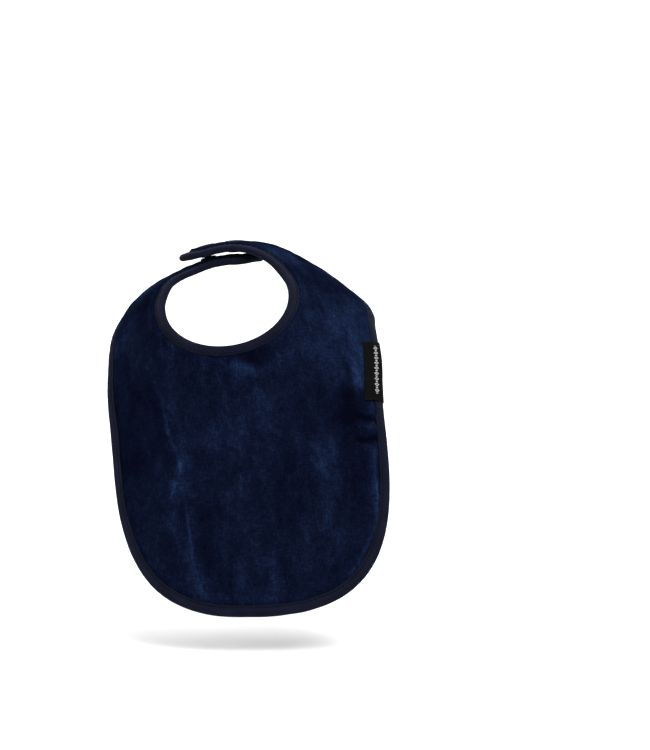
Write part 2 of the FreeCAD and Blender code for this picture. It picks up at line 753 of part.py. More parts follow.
def prong_drill(label, degrees):
    """Cutter for the hole that a prong makes through the cloth."""
    centre, axis = stud_frame(degrees)
    drill = doc.addObject("Part::Cylinder", label)
    drill.setExpression("Radius", "dimensions.prong_hole")
    drill.Height = DRILL_LENGTH
    drill.Placement = on_axis(centre - axis * (DRILL_LENGTH / 2), axis)
    return drill


def pierced(label, shape, drills):
    """A cloth layer of a tab with one or two prong holes."""
    layer = doc.addObject("Part::Feature", label + "_cloth")
    layer.Shape = shape
    for drill in drills:
        name = label if drill is drills[-1] else label + "_first_hole"
        cut = doc.addObject("Part::Cut", name)
        cut.Base = layer
        cut.Tool = drill
        layer = cut
    doc.recompute()
    pieces.append(layer)


def patch_grid(side, angles, rows=9, columns=7):
    """Stay patch: a rectangle of sheet round the studs."""
    spots = [psi_on(side, degrees) for degrees in angles]
    mean_sigma = sum(0.5 * width(psi) for psi in spots) / len(spots)
    margin = PATCH_RADIUS / reach(mean_sigma, spots[0])
    start, end = min(spots) - margin, max(spots) + margin
    if side < 0:
        start, end = end, start
    grid = []
    for i in range(rows):
        psi = start + (end - start) * i / (rows - 1.0)
        sigma = 0.5 * width(psi) - PATCH_RADIUS
        grid.append([(sigma + 2 * PATCH_RADIUS * j / (columns - 1.0), psi)
                     for j in range(columns)])
    return grid


# "right" is the tab on the +X side, "left" the one on the -X side.
for side, word, angles in ((1, "right", (STUD_ANGLE, SPARE_ANGLE)),
                           (-1, "left", (STUD_ANGLE,))):
    tab = tab_grid(side)
    layers = (
        ("_tab_velour", tab, VELOUR),
        ("_tab_core", tab, (dim("tab_core_low"), dim("core_high"))),
        ("_tab_stay_patch", patch_grid(side, angles), (dim("patch_low"), dim("patch_high"))),
        ("_tab_backing", tab, BACKING),
    )
    for tail, grid, (low_offset, high_offset) in layers:
        drills = [prong_drill(word + tail + "_drill_" + letter, degrees)
                  for letter, degrees in zip("ab", angles)]
        pierced(word + tail, band(grid, low_offset, high_offset), drills)
    # walking outer edge, tip, neckline keeps the cloth on one hand
    bind(word + "_tab", tab_outline(side), -side)

# ---------------------------------------------------------------- care label
# A flat tab on the backing, sewn in beside the binding on the -X side; its loose end
# points to the middle.  Its own X runs from the sewn end to the loose end.
CARE_PSI = angle("care_angle")
CARE_WIDTH, CARE_LENGTH = dim("care_width"), dim("care_length")
CARE_START = LIP + dim("care_inset")
SLOPE_STEP = 0.05       # radians, to take the edge's slope over a stretch
CARE_NORMAL_INSET = 25  # where the label's normal is taken, inside the edge


def care_label():
    body, sketch = sketched_body("care_label", "care_label_outline", "XY_Plane")
    half = CARE_WIDTH / 2
    draw_loop(sketch, [(0.0, -half), (CARE_LENGTH, -half), (CARE_LENGTH, half), (0.0, half)])
    for i, kind in enumerate(("Horizontal", "Vertical", "Horizontal")):
        sketch.addConstraint(Sketcher.Constraint(kind, i))
    sketch.addConstraint(Sketcher.Constraint("PointOnObject", 0, 1, -2))
    sketch.addConstraint(Sketcher.Constraint("Symmetric", 0, 1, 2, 2, -1))
    for name, kind, line, value, alias in (
            ("length", "DistanceX", 0, CARE_LENGTH, "care_length"),
            ("across", "DistanceY", 1, CARE_WIDTH, "care_width")):
        number = sketch.addConstraint(Sketcher.Constraint(kind, line, 1, line, 2, value))
        sketch.renameConstraint(number, name)
        sketch.setExpression("Constraints." + name, "dimensions." + alias)
    doc.recompute()
    pad = body.newObject("PartDesign::Pad", "care_label_pad")
    pad.Profile = sketch
    pad.setExpression("Length", "dimensions.care_thickness")
    body.Tip = pad
    doc.recompute()
    # round the upright edges at the loose end
    upright = []
    for i, edge in enumerate(pad.Shape.Edges, start=1):
        start, end = edge.Vertexes[0].Point, edge.Vertexes[-1].Point
        if abs(start.z - end.z) > 0.1 and start.x > CARE_LENGTH - 0.1:
            upright.append("Edge%d" % i)
    rounds = body.newObject("PartDesign::Fillet", "care_label_corners")
    rounds.Base = (pad, upright)
    rounds.setExpression("Radius", "dimensions.care_corner")
    body.Tip = rounds
    doc.recompute()
    return body


edge_sigma = width(CARE_PSI)
edge_reach = reach(edge_sigma, CARE_PSI)
edge_rise = (width(CARE_PSI + SLOPE_STEP) - width(CARE_PSI - SLOPE_STEP)) / (2 * SLOPE_STEP)
edge_length = math.hypot(edge_reach, edge_rise)


def care_spot(inset, along):
    """Sheet coordinates at a distance inside the edge and a distance along it."""
    sigma = edge_sigma + (edge_rise * along - edge_reach * inset) / edge_length
    psi = CARE_PSI + (edge_rise * inset / edge_reach + along) / edge_length
    return sigma, psi


def care_placement():
    """The label lies flat, just clear of the backing under it."""
    near = point(*care_spot(CARE_START, 0.0), 0.0)
    run = point(*care_spot(CARE_START + CARE_LENGTH, 0.0), 0.0) - near
    run.normalize()
    wide = normal(*care_spot(CARE_NORMAL_INSET, 0.0)).cross(run)
    wide.normalize()
    face = run.cross(wide)
    height = 0.0
    for i in range(13):
        for share in (-0.5, -0.25, 0.0, 0.25, 0.5):
            spot = care_spot(CARE_START + CARE_LENGTH * i / 12.0, CARE_WIDTH * share)
            height = min(height, (point(*spot, CLOTH_BACK) - near).dot(face))
    height -= dim("care_clear")
    # the label's own Y and Z point against wide and face
    matrix = FreeCAD.Matrix(run.x, -wide.x, -face.x, 0,
                            run.y, -wide.y, -face.y, 0,
                            run.z, -wide.z, -face.z, 0,
                            0, 0, 0, 1)
    return FreeCAD.Placement(near + face * height, FreeCAD.Placement(matrix).Rotation)


care = care_label()
care.Placement = care_placement()
pieces.append(care)

# ---------------------------------------------------------------- checks and output
doc.recompute()
for item in doc.Objects:
    if "Invalid" in item.State or "Error" in item.State:
        raise RuntimeError("%s: %s" % (item.Label, item.State))
for piece in pieces:
    shape = piece.Shape
    if shape.isNull() or not shape.isValid():
        raise RuntimeError("%s has no valid shape" % piece.Label)
    if not shape.Solids:
        raise RuntimeError("%s has no solid" % piece.Label)

os.makedirs("parts", exist_ok=True)
for piece in pieces:
    piece.Shape.exportStep("parts/%s.step" % piece.Label)
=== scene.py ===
"""A bib hung as worn, fastened behind the neck by two tabs with press studs.

The cloth is velour, towelling and coated backing in one bound edge, with a label folded over
the edge on the +X side and a care label behind.  The neck centre is the origin, the bib faces
-Y, +Z is up and the right tab is the one on the +X side.  Shapes are worked out in mm and
built in metres.

Places on the cloth are (sig, psi): sig is the distance along it from the neckline in mm, psi
the angle round the neck, 0 at the front and growing towards +X.  Offsets stand square to the
middle sheet, positive on the velour side.
"""
import bpy
import json
from functools import partialmethod
import numpy as np
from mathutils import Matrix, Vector
from mathutils.kdtree import KDTree


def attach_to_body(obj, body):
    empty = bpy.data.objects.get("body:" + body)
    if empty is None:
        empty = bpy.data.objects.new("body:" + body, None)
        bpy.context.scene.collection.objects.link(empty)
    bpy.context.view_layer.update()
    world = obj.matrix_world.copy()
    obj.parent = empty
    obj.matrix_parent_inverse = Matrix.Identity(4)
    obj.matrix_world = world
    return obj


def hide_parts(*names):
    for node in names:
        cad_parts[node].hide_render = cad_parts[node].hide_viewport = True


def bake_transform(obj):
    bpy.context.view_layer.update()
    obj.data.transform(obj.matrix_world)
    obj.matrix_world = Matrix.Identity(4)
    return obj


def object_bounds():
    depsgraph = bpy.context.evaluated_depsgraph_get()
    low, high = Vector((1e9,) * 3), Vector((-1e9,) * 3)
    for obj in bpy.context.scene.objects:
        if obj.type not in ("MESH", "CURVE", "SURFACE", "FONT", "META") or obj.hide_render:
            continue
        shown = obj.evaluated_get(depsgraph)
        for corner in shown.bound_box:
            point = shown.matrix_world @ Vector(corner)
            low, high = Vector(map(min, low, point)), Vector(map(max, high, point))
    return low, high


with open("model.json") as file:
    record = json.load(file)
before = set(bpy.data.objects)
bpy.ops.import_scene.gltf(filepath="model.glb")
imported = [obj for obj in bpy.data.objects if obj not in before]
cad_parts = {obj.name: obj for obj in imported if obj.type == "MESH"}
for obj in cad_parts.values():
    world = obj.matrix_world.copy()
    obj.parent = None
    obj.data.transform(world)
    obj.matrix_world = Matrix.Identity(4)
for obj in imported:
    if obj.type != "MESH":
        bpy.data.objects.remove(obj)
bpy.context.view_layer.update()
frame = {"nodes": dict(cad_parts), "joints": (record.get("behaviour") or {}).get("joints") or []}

MM = 0.001
rad = np.radians

# =====================================================================
# The draped sheet
# =====================================================================
NECK_RADIUS = 40.093
# ring angles at the neckline and in the apron
TILT = rad([47.806, 20.546])
HEADING = rad([-8.395, -26.549])
FLARE = rad([57.549, 44.546])
FRONT_HEADING = rad(-0.627)
TURN_RUN = 62.236                   # sig over which the ring turns from neck to apron
PITCH = rad(3.0)                    # the view, and the sheet's own axes, look down by this
# width of the cloth: cosine terms 0.., sine terms 1.. that fade out towards the tabs
WIDTH_COS = [83.547, 60.170, 26.640, 16.551, 3.233, -2.929, -1.305, -1.286, -2.091]
WIDTH_SIN = [4.984, 3.212, -15.228, 17.459, -10.911, 5.639]
SIN_FADE = 1.9
FOLD = rad(130.0)                   # where the body panel's grid gives way to a tab's
SIDE_END, TIP = rad(192.0), rad(15.0)   # end of a tab's straight sides, and its round tip
TIP_BOW = 0.86                      # share of the half circle that bows the tab's grid rows
TAB_LIFT, LIFT_START, LIFT_SPAN = 4.25, rad(115.0), rad(45.0)
EDGE_INSET = 0.95                   # the cloth layers stop this far inside the finished edge
LIP = 6.6                           # reach of the binding tape over the cloth
SPLIT = rad(97.0)                   # shoulder pieces begin here
STUD_PSI, SPARE_PSI = rad(190.0), rad(171.5)


def smooth(x):
    x = np.clip(x, 0.0, 1.0)
    return x * x * (3.0 - 2.0 * x)


def unit(vectors):
    return vectors / np.maximum(np.linalg.norm(vectors, axis=-1, keepdims=True), 1e-12)


def level(vectors):
    """From the sheet's axes (y up, z to the viewer) to the scene's."""
    cos, sin = np.cos(PITCH), np.sin(PITCH)
    x, y, z = vectors[..., 0], vectors[..., 1], vectors[..., 2]
    return np.stack([x, y * sin - z * cos, y * cos + z * sin], -1)


def unlevel(vectors):
    cos, sin = np.cos(PITCH), np.sin(PITCH)
    x, y, z = vectors[..., 0], vectors[..., 1], vectors[..., 2]
    return np.stack([x, y * sin + z * cos, -y * cos + z * sin], -1)


def ring_axes(sig):
    """Axis, front and side directions of the ring at sig, and its flare."""
    share = smooth(np.asarray(sig, float) / TURN_RUN)
    tilt, heading, flare = (a + (b - a) * share for a, b in (TILT, HEADING, FLARE))
    axis = np.stack([np.sin(tilt) * np.sin(heading), np.cos(tilt),
                     np.sin(tilt) * np.cos(heading)], -1)
    ahead = np.array([np.sin(FRONT_HEADING), 0.0, np.cos(FRONT_HEADING)])
    front = unit(ahead - axis * (axis @ ahead)[..., None])
    side = np.cross(axis, front)
    side *= np.sign(side[..., 0:1])
    return level(axis), level(front), level(side), flare


# the sheet's slope, summed along sig: constant, cosine and sine parts of psi
RUN_STEP = 0.5
RUNS = np.arange(0, 215, RUN_STEP)
RING_AXIS, RING_FRONT, RING_SIDE, RING_FLARE = ring_axes(RUNS)
SLOPES = [-np.cos(RING_FLARE)[:, None] * RING_AXIS,
          np.sin(RING_FLARE)[:, None] * RING_FRONT,
          np.sin(RING_FLARE)[:, None] * RING_SIDE]
SUMS = [np.vstack([np.zeros(3), np.cumsum(0.5 * (slope[1:] + slope[:-1]) * RUN_STEP, axis=0)])
        for slope in SLOPES]


def middle(sig, psi):
    """Point of the smooth middle sheet, mm; straight on beyond the neckline."""
    sig, psi = np.broadcast_arrays(np.asarray(sig, float), np.asarray(psi, float))
    held = np.clip(sig, 0, RUNS[-1])
    flat_part, cos_part, sin_part = (
        np.stack([np.interp(held, RUNS, total[:, i]) for i in range(3)], -1) for total in SUMS)
    cos, sin = np.cos(psi)[..., None], np.sin(psi)[..., None]
    start = (RING_FRONT[0] * cos + RING_SIDE[0] * sin) * NECK_RADIUS
    first = SLOPES[0][0] + SLOPES[1][0] * cos + SLOPES[2][0] * sin
    return (start + flat_part + cos_part * cos + sin_part * sin
            + first * np.minimum(sig, 0)[..., None])


def around(sig, psi):
    """Change of the middle sheet with psi, mm per radian."""
    step = 1e-3
    return (middle(sig, np.asarray(psi) + step) - middle(sig, np.asarray(psi) - step)) * (0.5 / step)


def radius_at(sig, psi):
    return np.linalg.norm(around(sig, psi), axis=-1)


def normal(sig, psi):
    sig = np.asarray(sig, float)
    step = 0.75
    square = unit(np.cross(around(sig, psi), middle(sig + step, psi) - middle(sig - step, psi)))
    axis, front, side, flare = ring_axes(np.maximum(sig, 0))
    cos, sin = np.cos(psi)[..., None], np.sin(psi)[..., None]
    outward = (front * cos + side * sin) * np.cos(flare)[..., None] + axis * np.sin(flare)[..., None]
    return square * np.sign((square * outward).sum(-1, keepdims=True))


def lift(psi):
    """The right tab stands out and the left one in, so that they overlap."""
    return np.sign(psi) * TAB_LIFT * smooth((np.abs(psi) - LIFT_START) / LIFT_SPAN)


def width(psi):
    """sig of the outer edge."""
    psi = np.asarray(psi, float)
    even = sum(c * np.cos(k * psi) for k, c in enumerate(WIDTH_COS))
    odd = sum(c * np.sin((k + 1) * psi) for k, c in enumerate(WIDTH_SIN))
    return even + odd * np.exp(-((psi / SIN_FADE) ** 4))


def width_slope(psi):
    return (width(psi + 1e-4) - width(psi - 1e-4)) / 2e-4


def slant(psi):
    """How much longer a step along sig is than the same step square to the outer edge."""
    return np.hypot(1.0, width_slope(psi) / radius_at(width(psi), psi))


# the eye, from the neck centre in the sheet's axes
EYE = np.array([63.1654, -47.8737, 1800.0])


def seen(points):
    """View-plane place of points: mm right and up, on the plane through the neck centre."""
    rays = unlevel(points) - EYE
    return rays[..., :2] * (EYE[2] / -rays[..., 2:]) + EYE[:2]


class Noise:
    """Smooth seeded value noise on numpy arrays."""

    def __init__(self, seed, size=64):
        self.size = size
        self.table = np.random.RandomState(seed).uniform(-1, 1, (size, size))

    def __call__(self, x, y):
        size, table = self.size, self.table
        col, row = np.floor(x).astype(int), np.floor(y).astype(int)
        x, y = (v * v * v * (v * (v * 6 - 15) + 10) for v in (x - col, y - row))
        near = table[col % size, row % size] * (1 - x) + table[(col + 1) % size, row % size] * x
        row = row + 1
        far = table[col % size, row % size] * (1 - x) + table[(col + 1) % size, row % size] * x
        return near * (1 - y) + far * y


NOISE_A, NOISE_B, NOISE_C, NOISE_D, NOISE_E = (Noise(11 + i) for i in range(5))
FLAT_TURN = 330.0 / 404.0           # turn on the flat pattern for a turn round the neck


def flat(sig, psi):
    """Place on the cut pattern laid flat, mm."""
    reach = 50.0 + sig
    return np.stack([reach * np.sin(FLAT_TURN * psi), -reach * np.cos(FLAT_TURN * psi)], -1)


def run_along(points):
    """Distance along a run of points, from 0."""
    return np.r_[0, np.cumsum(np.linalg.norm(np.diff(points, axis=0), axis=1))]


# =====================================================================
# Folds of the worn cloth, shared by every layer
# =====================================================================
# (line on the view plane, reach on its left, reach on its right, height), all mm
CREASES = [
    ([(-51.58, -33.13), (-47.09, -45.95), (-41.96, -62.62), (-37.48, -84.41), (-31.07, -99.80),
      (-27.22, -113.90), (-25.30, -128.00), (-22.73, -151.08), (-18.89, -170.31),
      (-16.32, -186.98)], 3.21, 15.38, 2.3),
    ([(-36.19, -128.00), (-34.27, -147.23), (-29.78, -163.90)], 3.21, 5.13, 0.9),
    ([(3.55, -99.16), (6.11, -118.39), (7.40, -140.82), (8.68, -166.46), (9.96, -192.10)],
     3.21, 5.77, 0.8),
    ([(16.37, -108.77), (18.93, -140.82), (20.22, -166.46)], 3.85, 4.49, -0.6),
    ([(27.91, -140.82), (30.47, -166.46), (33.68, -195.95)], 3.21, 5.13, 0.9),
    ([(50.99, -83.13), (56.11, -103.64), (61.24, -128.00), (65.09, -151.08)], 4.49, 7.05, 1.2),
    ([(70.22, -89.54), (75.34, -115.18), (76.63, -140.82)], 3.85, 5.13, -0.8),
    ([(80.47, -108.77), (84.32, -140.82), (80.47, -166.46)], 4.49, 5.77, -0.7),
    ([(47.14, -60.69), (66.37, -65.18), (83.04, -62.62), (94.58, -58.77)], 5.77, 5.13, -1.4),
    ([(77.91, -84.41), (85.60, -81.85), (92.65, -82.49), (99.06, -85.69)], 3.21, 3.21, 1.25),
    ([(79.19, -70.95), (86.88, -70.31), (93.29, -70.95), (99.06, -72.87)], 3.21, 3.21, 1.15),
    ([(80.47, -95.31), (86.88, -97.23), (93.29, -97.23), (99.06, -95.95)], 2.56, 3.21, 0.8),
    ([(47.14, -19.03), (63.81, -33.13), (79.19, -51.08)], 7.69, 11.54, 0.9),
    ([(18.29, -51.08), (22.78, -70.31), (22.78, -89.54)], 8.97, 10.26, 0.7),
    ([(-11.83, -45.95), (-7.99, -70.31), (-6.71, -95.95)], 7.69, 7.69, -0.8),
    ([(-69.53, -11.34), (-65.68, -19.03), (-61.83, -28.64)], 2.56, 3.21, 1.1),
    ([(70.22, 5.33), (79.19, -6.21), (85.60, -20.31)], 5.77, 7.05, 0.8),
    ([(-0.94, -45.95), (11.88, -47.23), (22.78, -42.10)], 3.21, 4.49, 0.7),
    ([(-63.12, -63.90), (-61.19, -95.95), (-56.07, -128.00)], 5.77, 6.41, -0.9),
    ([(-49.01, -140.82), (-42.60, -163.26), (-31.07, -185.69)], 4.49, 5.13, 0.6),
    ([(-7.99, -115.18), (-6.71, -147.23), (-2.86, -179.28)], 4.49, 4.49, 0.5),
    ([(47.14, -153.64), (49.70, -176.08), (50.99, -193.39)], 3.21, 3.85, 0.5),
    ([(93.29, -99.16), (95.22, -128.00), (93.29, -156.85)], 1.92, 3.21, 0.7),
]
# the same for narrow marks of the pile between the puckers, which the layers below don't share
DENTS = [
    ([(79.19, -74.80), (86.24, -76.08), (91.37, -78.00), (96.50, -79.925)], 1.282, 1.282, -0.85),
    ([(79.19, -88.26), (85.60, -90.18), (92.01, -90.82), (97.14, -90.18)], 1.667, 1.667, -0.95),
    ([(-49.66, -44.03), (-44.53, -51.72), (-40.04, -62.62), (-37.48, -75.44), (-35.55, -85.69),
      (-31.07, -97.23)], 1.154, 1.923, 0.45),
    ([(-27.22, -121.59), (-23.37, -142.75), (-20.17, -161.34), (-18.24, -178.00)],
     1.154, 1.923, 0.40),
]
CREASE_END = 0.22                   # share of a crease's length over which each end fades


def to_line(places, line):
    """Distance to a polyline, side of it (+ on its right) and share along it."""
    line = np.asarray(line, float)
    run = run_along(line)
    best = np.full(places.shape[:-1], 1e9)
    side = np.zeros(places.shape[:-1])
    share = np.zeros(places.shape[:-1])
    for i, (start, step) in enumerate(zip(line[:-1], np.diff(line, axis=0))):
        length = run[i + 1] - run[i]
        part = np.clip(((places - start) @ step) / length ** 2, 0, 1)
        distance = np.linalg.norm(places - (start + part[..., None] * step), axis=-1)
        nearer = distance < best
        x, y = places[..., 0] - start[0], places[..., 1] - start[1]
        best = np.where(nearer, distance, best)
        side = np.where(nearer, np.sign(x * step[1] - y * step[0]), side)
        share = np.where(nearer, (run[i] + part * length) / run[-1], share)
    return best, side, share


def creases(psi, points, lines):
    places = seen(points)
    height = np.zeros(places.shape[:-1])
    for line, left, right, peak in lines:
        distance, side, share = to_line(places, line)
        reach = np.where(side > 0, right, left)
        ends = smooth(share / CREASE_END) * smooth((1 - share) / CREASE_END)
        height += peak * ends * np.exp(-((distance / reach) ** 2))
    return height * smooth((1.55 - np.abs(psi)) / 0.5)


# (side, sig, psi) of each press stud
STUDS = [(side, 0.5 * float(width(psi)), psi)
         for side, psi in ((1, STUD_PSI), (1, SPARE_PSI), (-1, STUD_PSI - 2 * np.pi))]


def stud_distance(sig, psi, stud):
    _, stud_sig, stud_psi = stud
    return np.hypot(sig - stud_sig, (psi - stud_psi) * radius_at(stud_sig, stud_psi))


def folds(sig, psi):
    """Height of the folds over the smooth sheet."""
    cut_x, cut_y = np.moveaxis(flat(sig, psi), -1, 0)
    height = creases(psi, middle(sig, psi), CREASES)
    # loose swells of the hanging cloth, fading at the neckline
    hang = smooth((sig - 25) / 60.0) * smooth((2.0 - np.abs(psi)) / 0.7)
    height += hang * (1.1 * NOISE_A(cut_x / 34.0 + 3.1, cut_y / 85.0 + 7.7)
                      + 0.55 * NOISE_B(cut_x / 17.0, cut_y / 46.0))
    height += 0.28 * NOISE_C(cut_x / 11.0, cut_y / 13.0) + 0.10 * NOISE_D(cut_x / 5.0, cut_y / 5.5)
    # soft drag lines from the shoulders to the apron
    height += 0.8 * hang * np.sin(psi * 9.0 + 0.6) * np.exp(-((np.abs(psi) - 1.0) / 0.35) ** 2)
    # the cloth lies flat under and near the press studs
    for stud in STUDS:
        height *= 1 - 0.9 * np.exp(-((stud_distance(sig, psi, stud) / 11.0) ** 2))
    return height


def cloth_point(sig, psi, offset):
    """Point of the folded cloth at an offset from the middle sheet, in metres."""
    sig, psi, offset = np.broadcast_arrays(
        *(np.asarray(values, float) for values in (sig, psi, offset)))
    height = offset + lift(psi) + folds(sig, psi)
    return (middle(sig, psi) + normal(sig, psi) * height[..., None]) * MM


# =====================================================================
# Mesh helpers
# =====================================================================
def build(name, points, quads, tris=(), uv=None, floats=None, normals=None, sharp=None):
    """A mesh object from arrays: points in metres, uv and floats per vertex, sharp in degrees."""
    mesh = bpy.data.meshes.new(name)
    points = np.asarray(points, np.float32)
    quads = np.asarray(quads, np.int32).reshape(-1, 4)
    tris = np.asarray(tris, np.int32).reshape(-1, 3)
    loops = np.concatenate([quads.ravel(), tris.ravel()])
    starts = np.concatenate([np.arange(len(quads)) * 4, len(quads) * 4 + np.arange(len(tris)) * 3])
    mesh.vertices.add(len(points))
    mesh.vertices.foreach_set("co", points.ravel())
    mesh.loops.add(len(loops))
    mesh.loops.foreach_set("vertex_index", loops)
    mesh.polygons.add(len(starts))
    mesh.polygons.foreach_set("loop_start", starts.astype(np.int32))
    mesh.update(calc_edges=True)
    mesh.validate()
    mesh.polygons.foreach_set("use_smooth", np.ones(len(mesh.polygons), bool))
    corners = np.zeros(len(mesh.loops), np.int32)
    mesh.loops.foreach_get("vertex_index", corners)
    layer_uv = mesh.uv_layers.new(name="UVMap")
    layer_uv.data.foreach_set("uv", np.asarray(uv, np.float32)[corners].ravel())
    for key, values in (floats or {}).items():
        attribute = mesh.attributes.new(key, "FLOAT", "POINT")
        attribute.data.foreach_set("value", np.asarray(values, np.float32).ravel())
    if sharp is not None:
        mesh.set_sharp_from_angle(angle=rad(sharp))
    if normals is not None:
        mesh.normals_split_custom_set_from_vertices([tuple(n) for n in np.asarray(normals, float)])
    mesh.update()
    ob = bpy.data.objects.new(name, mesh)
    bpy.context.scene.collection.objects.link(ob)
    return ob


def grid_quads(rows, cols):
    i, j = np.meshgrid(np.arange(rows - 1), np.arange(cols - 1), indexing="ij")
    first = (i * cols + j).ravel()
    return np.stack([first, first + 1, first + cols + 1, first + cols], -1)


def tube_quads(rows, cols, closed=False):
    """Faces of rings of cols points; closed joins the last ring to the first."""
    i, j = np.meshgrid(np.arange(rows if closed else rows - 1), np.arange(cols), indexing="ij")
    i2, j2 = (i + 1) % rows, (j + 1) % cols
    quads = [i * cols + j, i * cols + j2, i2 * cols + j2, i2 * cols + j]
    return np.stack(quads, -1).reshape(-1, 4)


def rim(rows, cols):
    """Vertex numbers round a grid's edge, in order."""
    return np.concatenate([
        np.arange(cols),
        np.arange(1, rows) * cols + cols - 1,
        (rows - 1) * cols + np.arange(cols - 2, -1, -1),
        np.arange(rows - 2, 0, -1) * cols])


def shell(name, top, low, uv, floats=None, normals=None, sharp=None):
    """Closed sheet between two matching grids of points."""
    rows, cols = top.shape[:2]
    count = rows * cols
    ring = rim(rows, cols)
    after = np.roll(ring, -1)
    wall = np.stack([after, ring, ring + count, after + count], -1)
    quads = np.concatenate([grid_quads(rows, cols), grid_quads(rows, cols)[:, ::-1] + count, wall])
    # outward on the top side decides the winding of the whole shell
    i, j = rows // 2, cols // 2
    facing = np.cross(top[i, j + 1] - top[i, j], top[i + 1, j] - top[i, j])
    if np.dot(facing, top[i, j] - low[i, j]) < 0:
        quads = quads[:, ::-1]
    if normals is not None:
        normals = np.concatenate([n.reshape(-1, 3) for n in normals])
    return build(name, np.concatenate([top.reshape(-1, 3), low.reshape(-1, 3)]), quads,
                 uv=np.concatenate([uv.reshape(-1, 2)] * 2),
                 floats={key: np.tile(v.ravel(), 2) for key, v in (floats or {}).items()},
                 normals=normals, sharp=sharp)


def grid_normals(grid, like):
    """Vertex normals of a grid of points, pointing the way of `like`."""
    square = unit(np.cross(np.gradient(grid, axis=0), np.gradient(grid, axis=1)))
    sign = np.sign((square * like).sum(-1, keepdims=True))
    sign[sign == 0] = 1
    return square * sign


def tree_of(points):
    tree = KDTree(len(points))
    for i, point in enumerate(points):
        tree.insert(point, i)
    tree.balance()
    return tree


# =====================================================================
# The sheet's grid: body panel in the middle, a tab at each end
# =====================================================================
def cloth_grid(step_deg, cols, tab_rows):
    """sig and psi of the grid, and the rows where the left and right shoulders are cut."""
    even = np.linspace(-1, 1, cols)
    across = even + 0.10 * np.sin(np.pi * even) + 0.035 * np.sin(2 * np.pi * even)
    body = np.linspace(0, FOLD, int(round(np.degrees(FOLD) / step_deg)) + 1)
    split_row = int(np.argmin(np.abs(body - SPLIT)))
    body[split_row] = SPLIT
    half_turn = TIP_BOW * np.pi / 2
    bow = np.sin(half_turn * across) / np.sin(half_turn)
    tip = (np.cos(half_turn * across) - np.cos(half_turn)) / (1 - np.cos(half_turn))
    share = np.linspace(0, 1, tab_rows + 1)[1:, None]
    halves = {}
    for side in (1, -1):
        body_psi = side * body
        far = (width(body_psi) - EDGE_INSET * slant(body_psi))[:, None]
        body_sig = EDGE_INSET + 0.5 * (1 + across) * (far - EDGE_INSET)
        end = SIDE_END + TIP * tip - EDGE_INSET / radius_at(20.0, side * SIDE_END)
        tab_psi = FOLD + share * (end - FOLD)
        half = width(side * np.minimum(tab_psi, SIDE_END)) * 0.5
        bowed = share ** 1.5
        tab_sig = half + ((1 - bowed) * across + bowed * bow) * (half - EDGE_INSET)
        body_psi = np.repeat(body_psi[:, None], cols, axis=1)
        halves[side] = (np.concatenate([body_sig, tab_sig]),
                        np.concatenate([body_psi, side * tab_psi]))
    sig, psi = (np.concatenate([left[::-1], right[1:]])
                for left, right in zip(halves[-1], halves[1]))
    centre = len(body) + tab_rows - 1
    return sig, psi, centre - split_row, centre + split_row


# Edge paths: rows of sig, psi and their rates of change along the path
def edge_run(start, end, count, outer=True):
    """A run of the outer edge or of the neckline."""
    psi = np.linspace(start, end, count)
    way = np.full(count, np.sign(end - start))
    sig, slope = (width(psi), width_slope(psi)) if outer else (0 * psi, 0 * psi)
    return np.stack([sig, psi, slope * way, way], -1)


def tip_run(side, count):
    full = float(width(side * SIDE_END))
    turn = np.linspace(np.pi / 2, -np.pi / 2, count)
    return np.stack([full * (0.5 + 0.5 * np.sin(turn)), side * (SIDE_END + TIP * np.cos(turn)),
                     -full * 0.5 * np.cos(turn), side * TIP * np.sin(turn)], -1)


def resample(path, step):
    """Even steps (mm) along a path, keeping both ends."""
    run = run_along(middle(path[:, 0], path[:, 1]))
    count = max(int(round(run[-1] / step)), 2)
    at = np.linspace(0, run[-1], count + 1)
    return np.stack([np.interp(at, run, path[:, k]) for k in range(4)], -1), at


PATHS = {"outer": edge_run(-SPLIT, SPLIT, 900), "neck": edge_run(-SPLIT, SPLIT, 500, outer=False)}
for side, tab in ((1, "right_tab"), (-1, "left_tab")):
    PATHS[tab] = np.concatenate([
        edge_run(side * SPLIT, side * SIDE_END, 260)[:-1],
        tip_run(side, 160),
        edge_run(side * SIDE_END, side * SPLIT, 260, outer=False)[1:]])

EDGE_SIG, EDGE_PSI = np.concatenate([resample(path, 1.0)[0] for path in PATHS.values()]).T[:2]
EDGE_POINTS = middle(EDGE_SIG, EDGE_PSI)


def edge_distance(sig, psi):
    """Distance (mm) to the nearest finished edge, and that edge point's psi and sig."""
    points = middle(sig, psi).reshape(-1, 3)
    turn = psi.reshape(-1)
    found = np.empty((len(points), 3))
    # the ends of the neck loop overlap in space, so each part of the turn has its own tree
    for mine, theirs in ((np.abs(turn) <= 1.6, np.abs(EDGE_PSI) < 2.3),
                         (turn > 1.6, EDGE_PSI > 1.0), (turn < -1.6, EDGE_PSI < -1.0)):
        rows = np.nonzero(theirs)[0]
        tree = tree_of(EDGE_POINTS[rows])
        for i in np.nonzero(mine)[0]:
            _, k, distance = tree.find(points[i])
            found[i] = distance, EDGE_PSI[rows[k]], EDGE_SIG[rows[k]]
    return tuple(found[:, i].reshape(sig.shape) for i in range(3))


def inset(path, sign, depth):
    """(sig, psi) at depths (mm) square to a path; depth has one axis more than the path."""
    sig, psi, sig_rate, psi_rate = np.moveaxis(path, -1, 0)
    radius = radius_at(sig, psi)
    along = unit(np.stack([psi_rate * radius, sig_rate], -1)) * sign
    return (sig[..., None] + along[..., 0, None] * depth,
            psi[..., None] - (along[..., 1] / radius)[..., None] * depth)


def inward_sign(path):
    """+1 if a positive inset goes into the cloth, else -1."""
    third = len(path) // 3
    sig, psi = inset(path[third:third + 1], 1, 3.0)
    return 1 if 0 < sig[0, 0] < width(psi)[0, 0] else -1


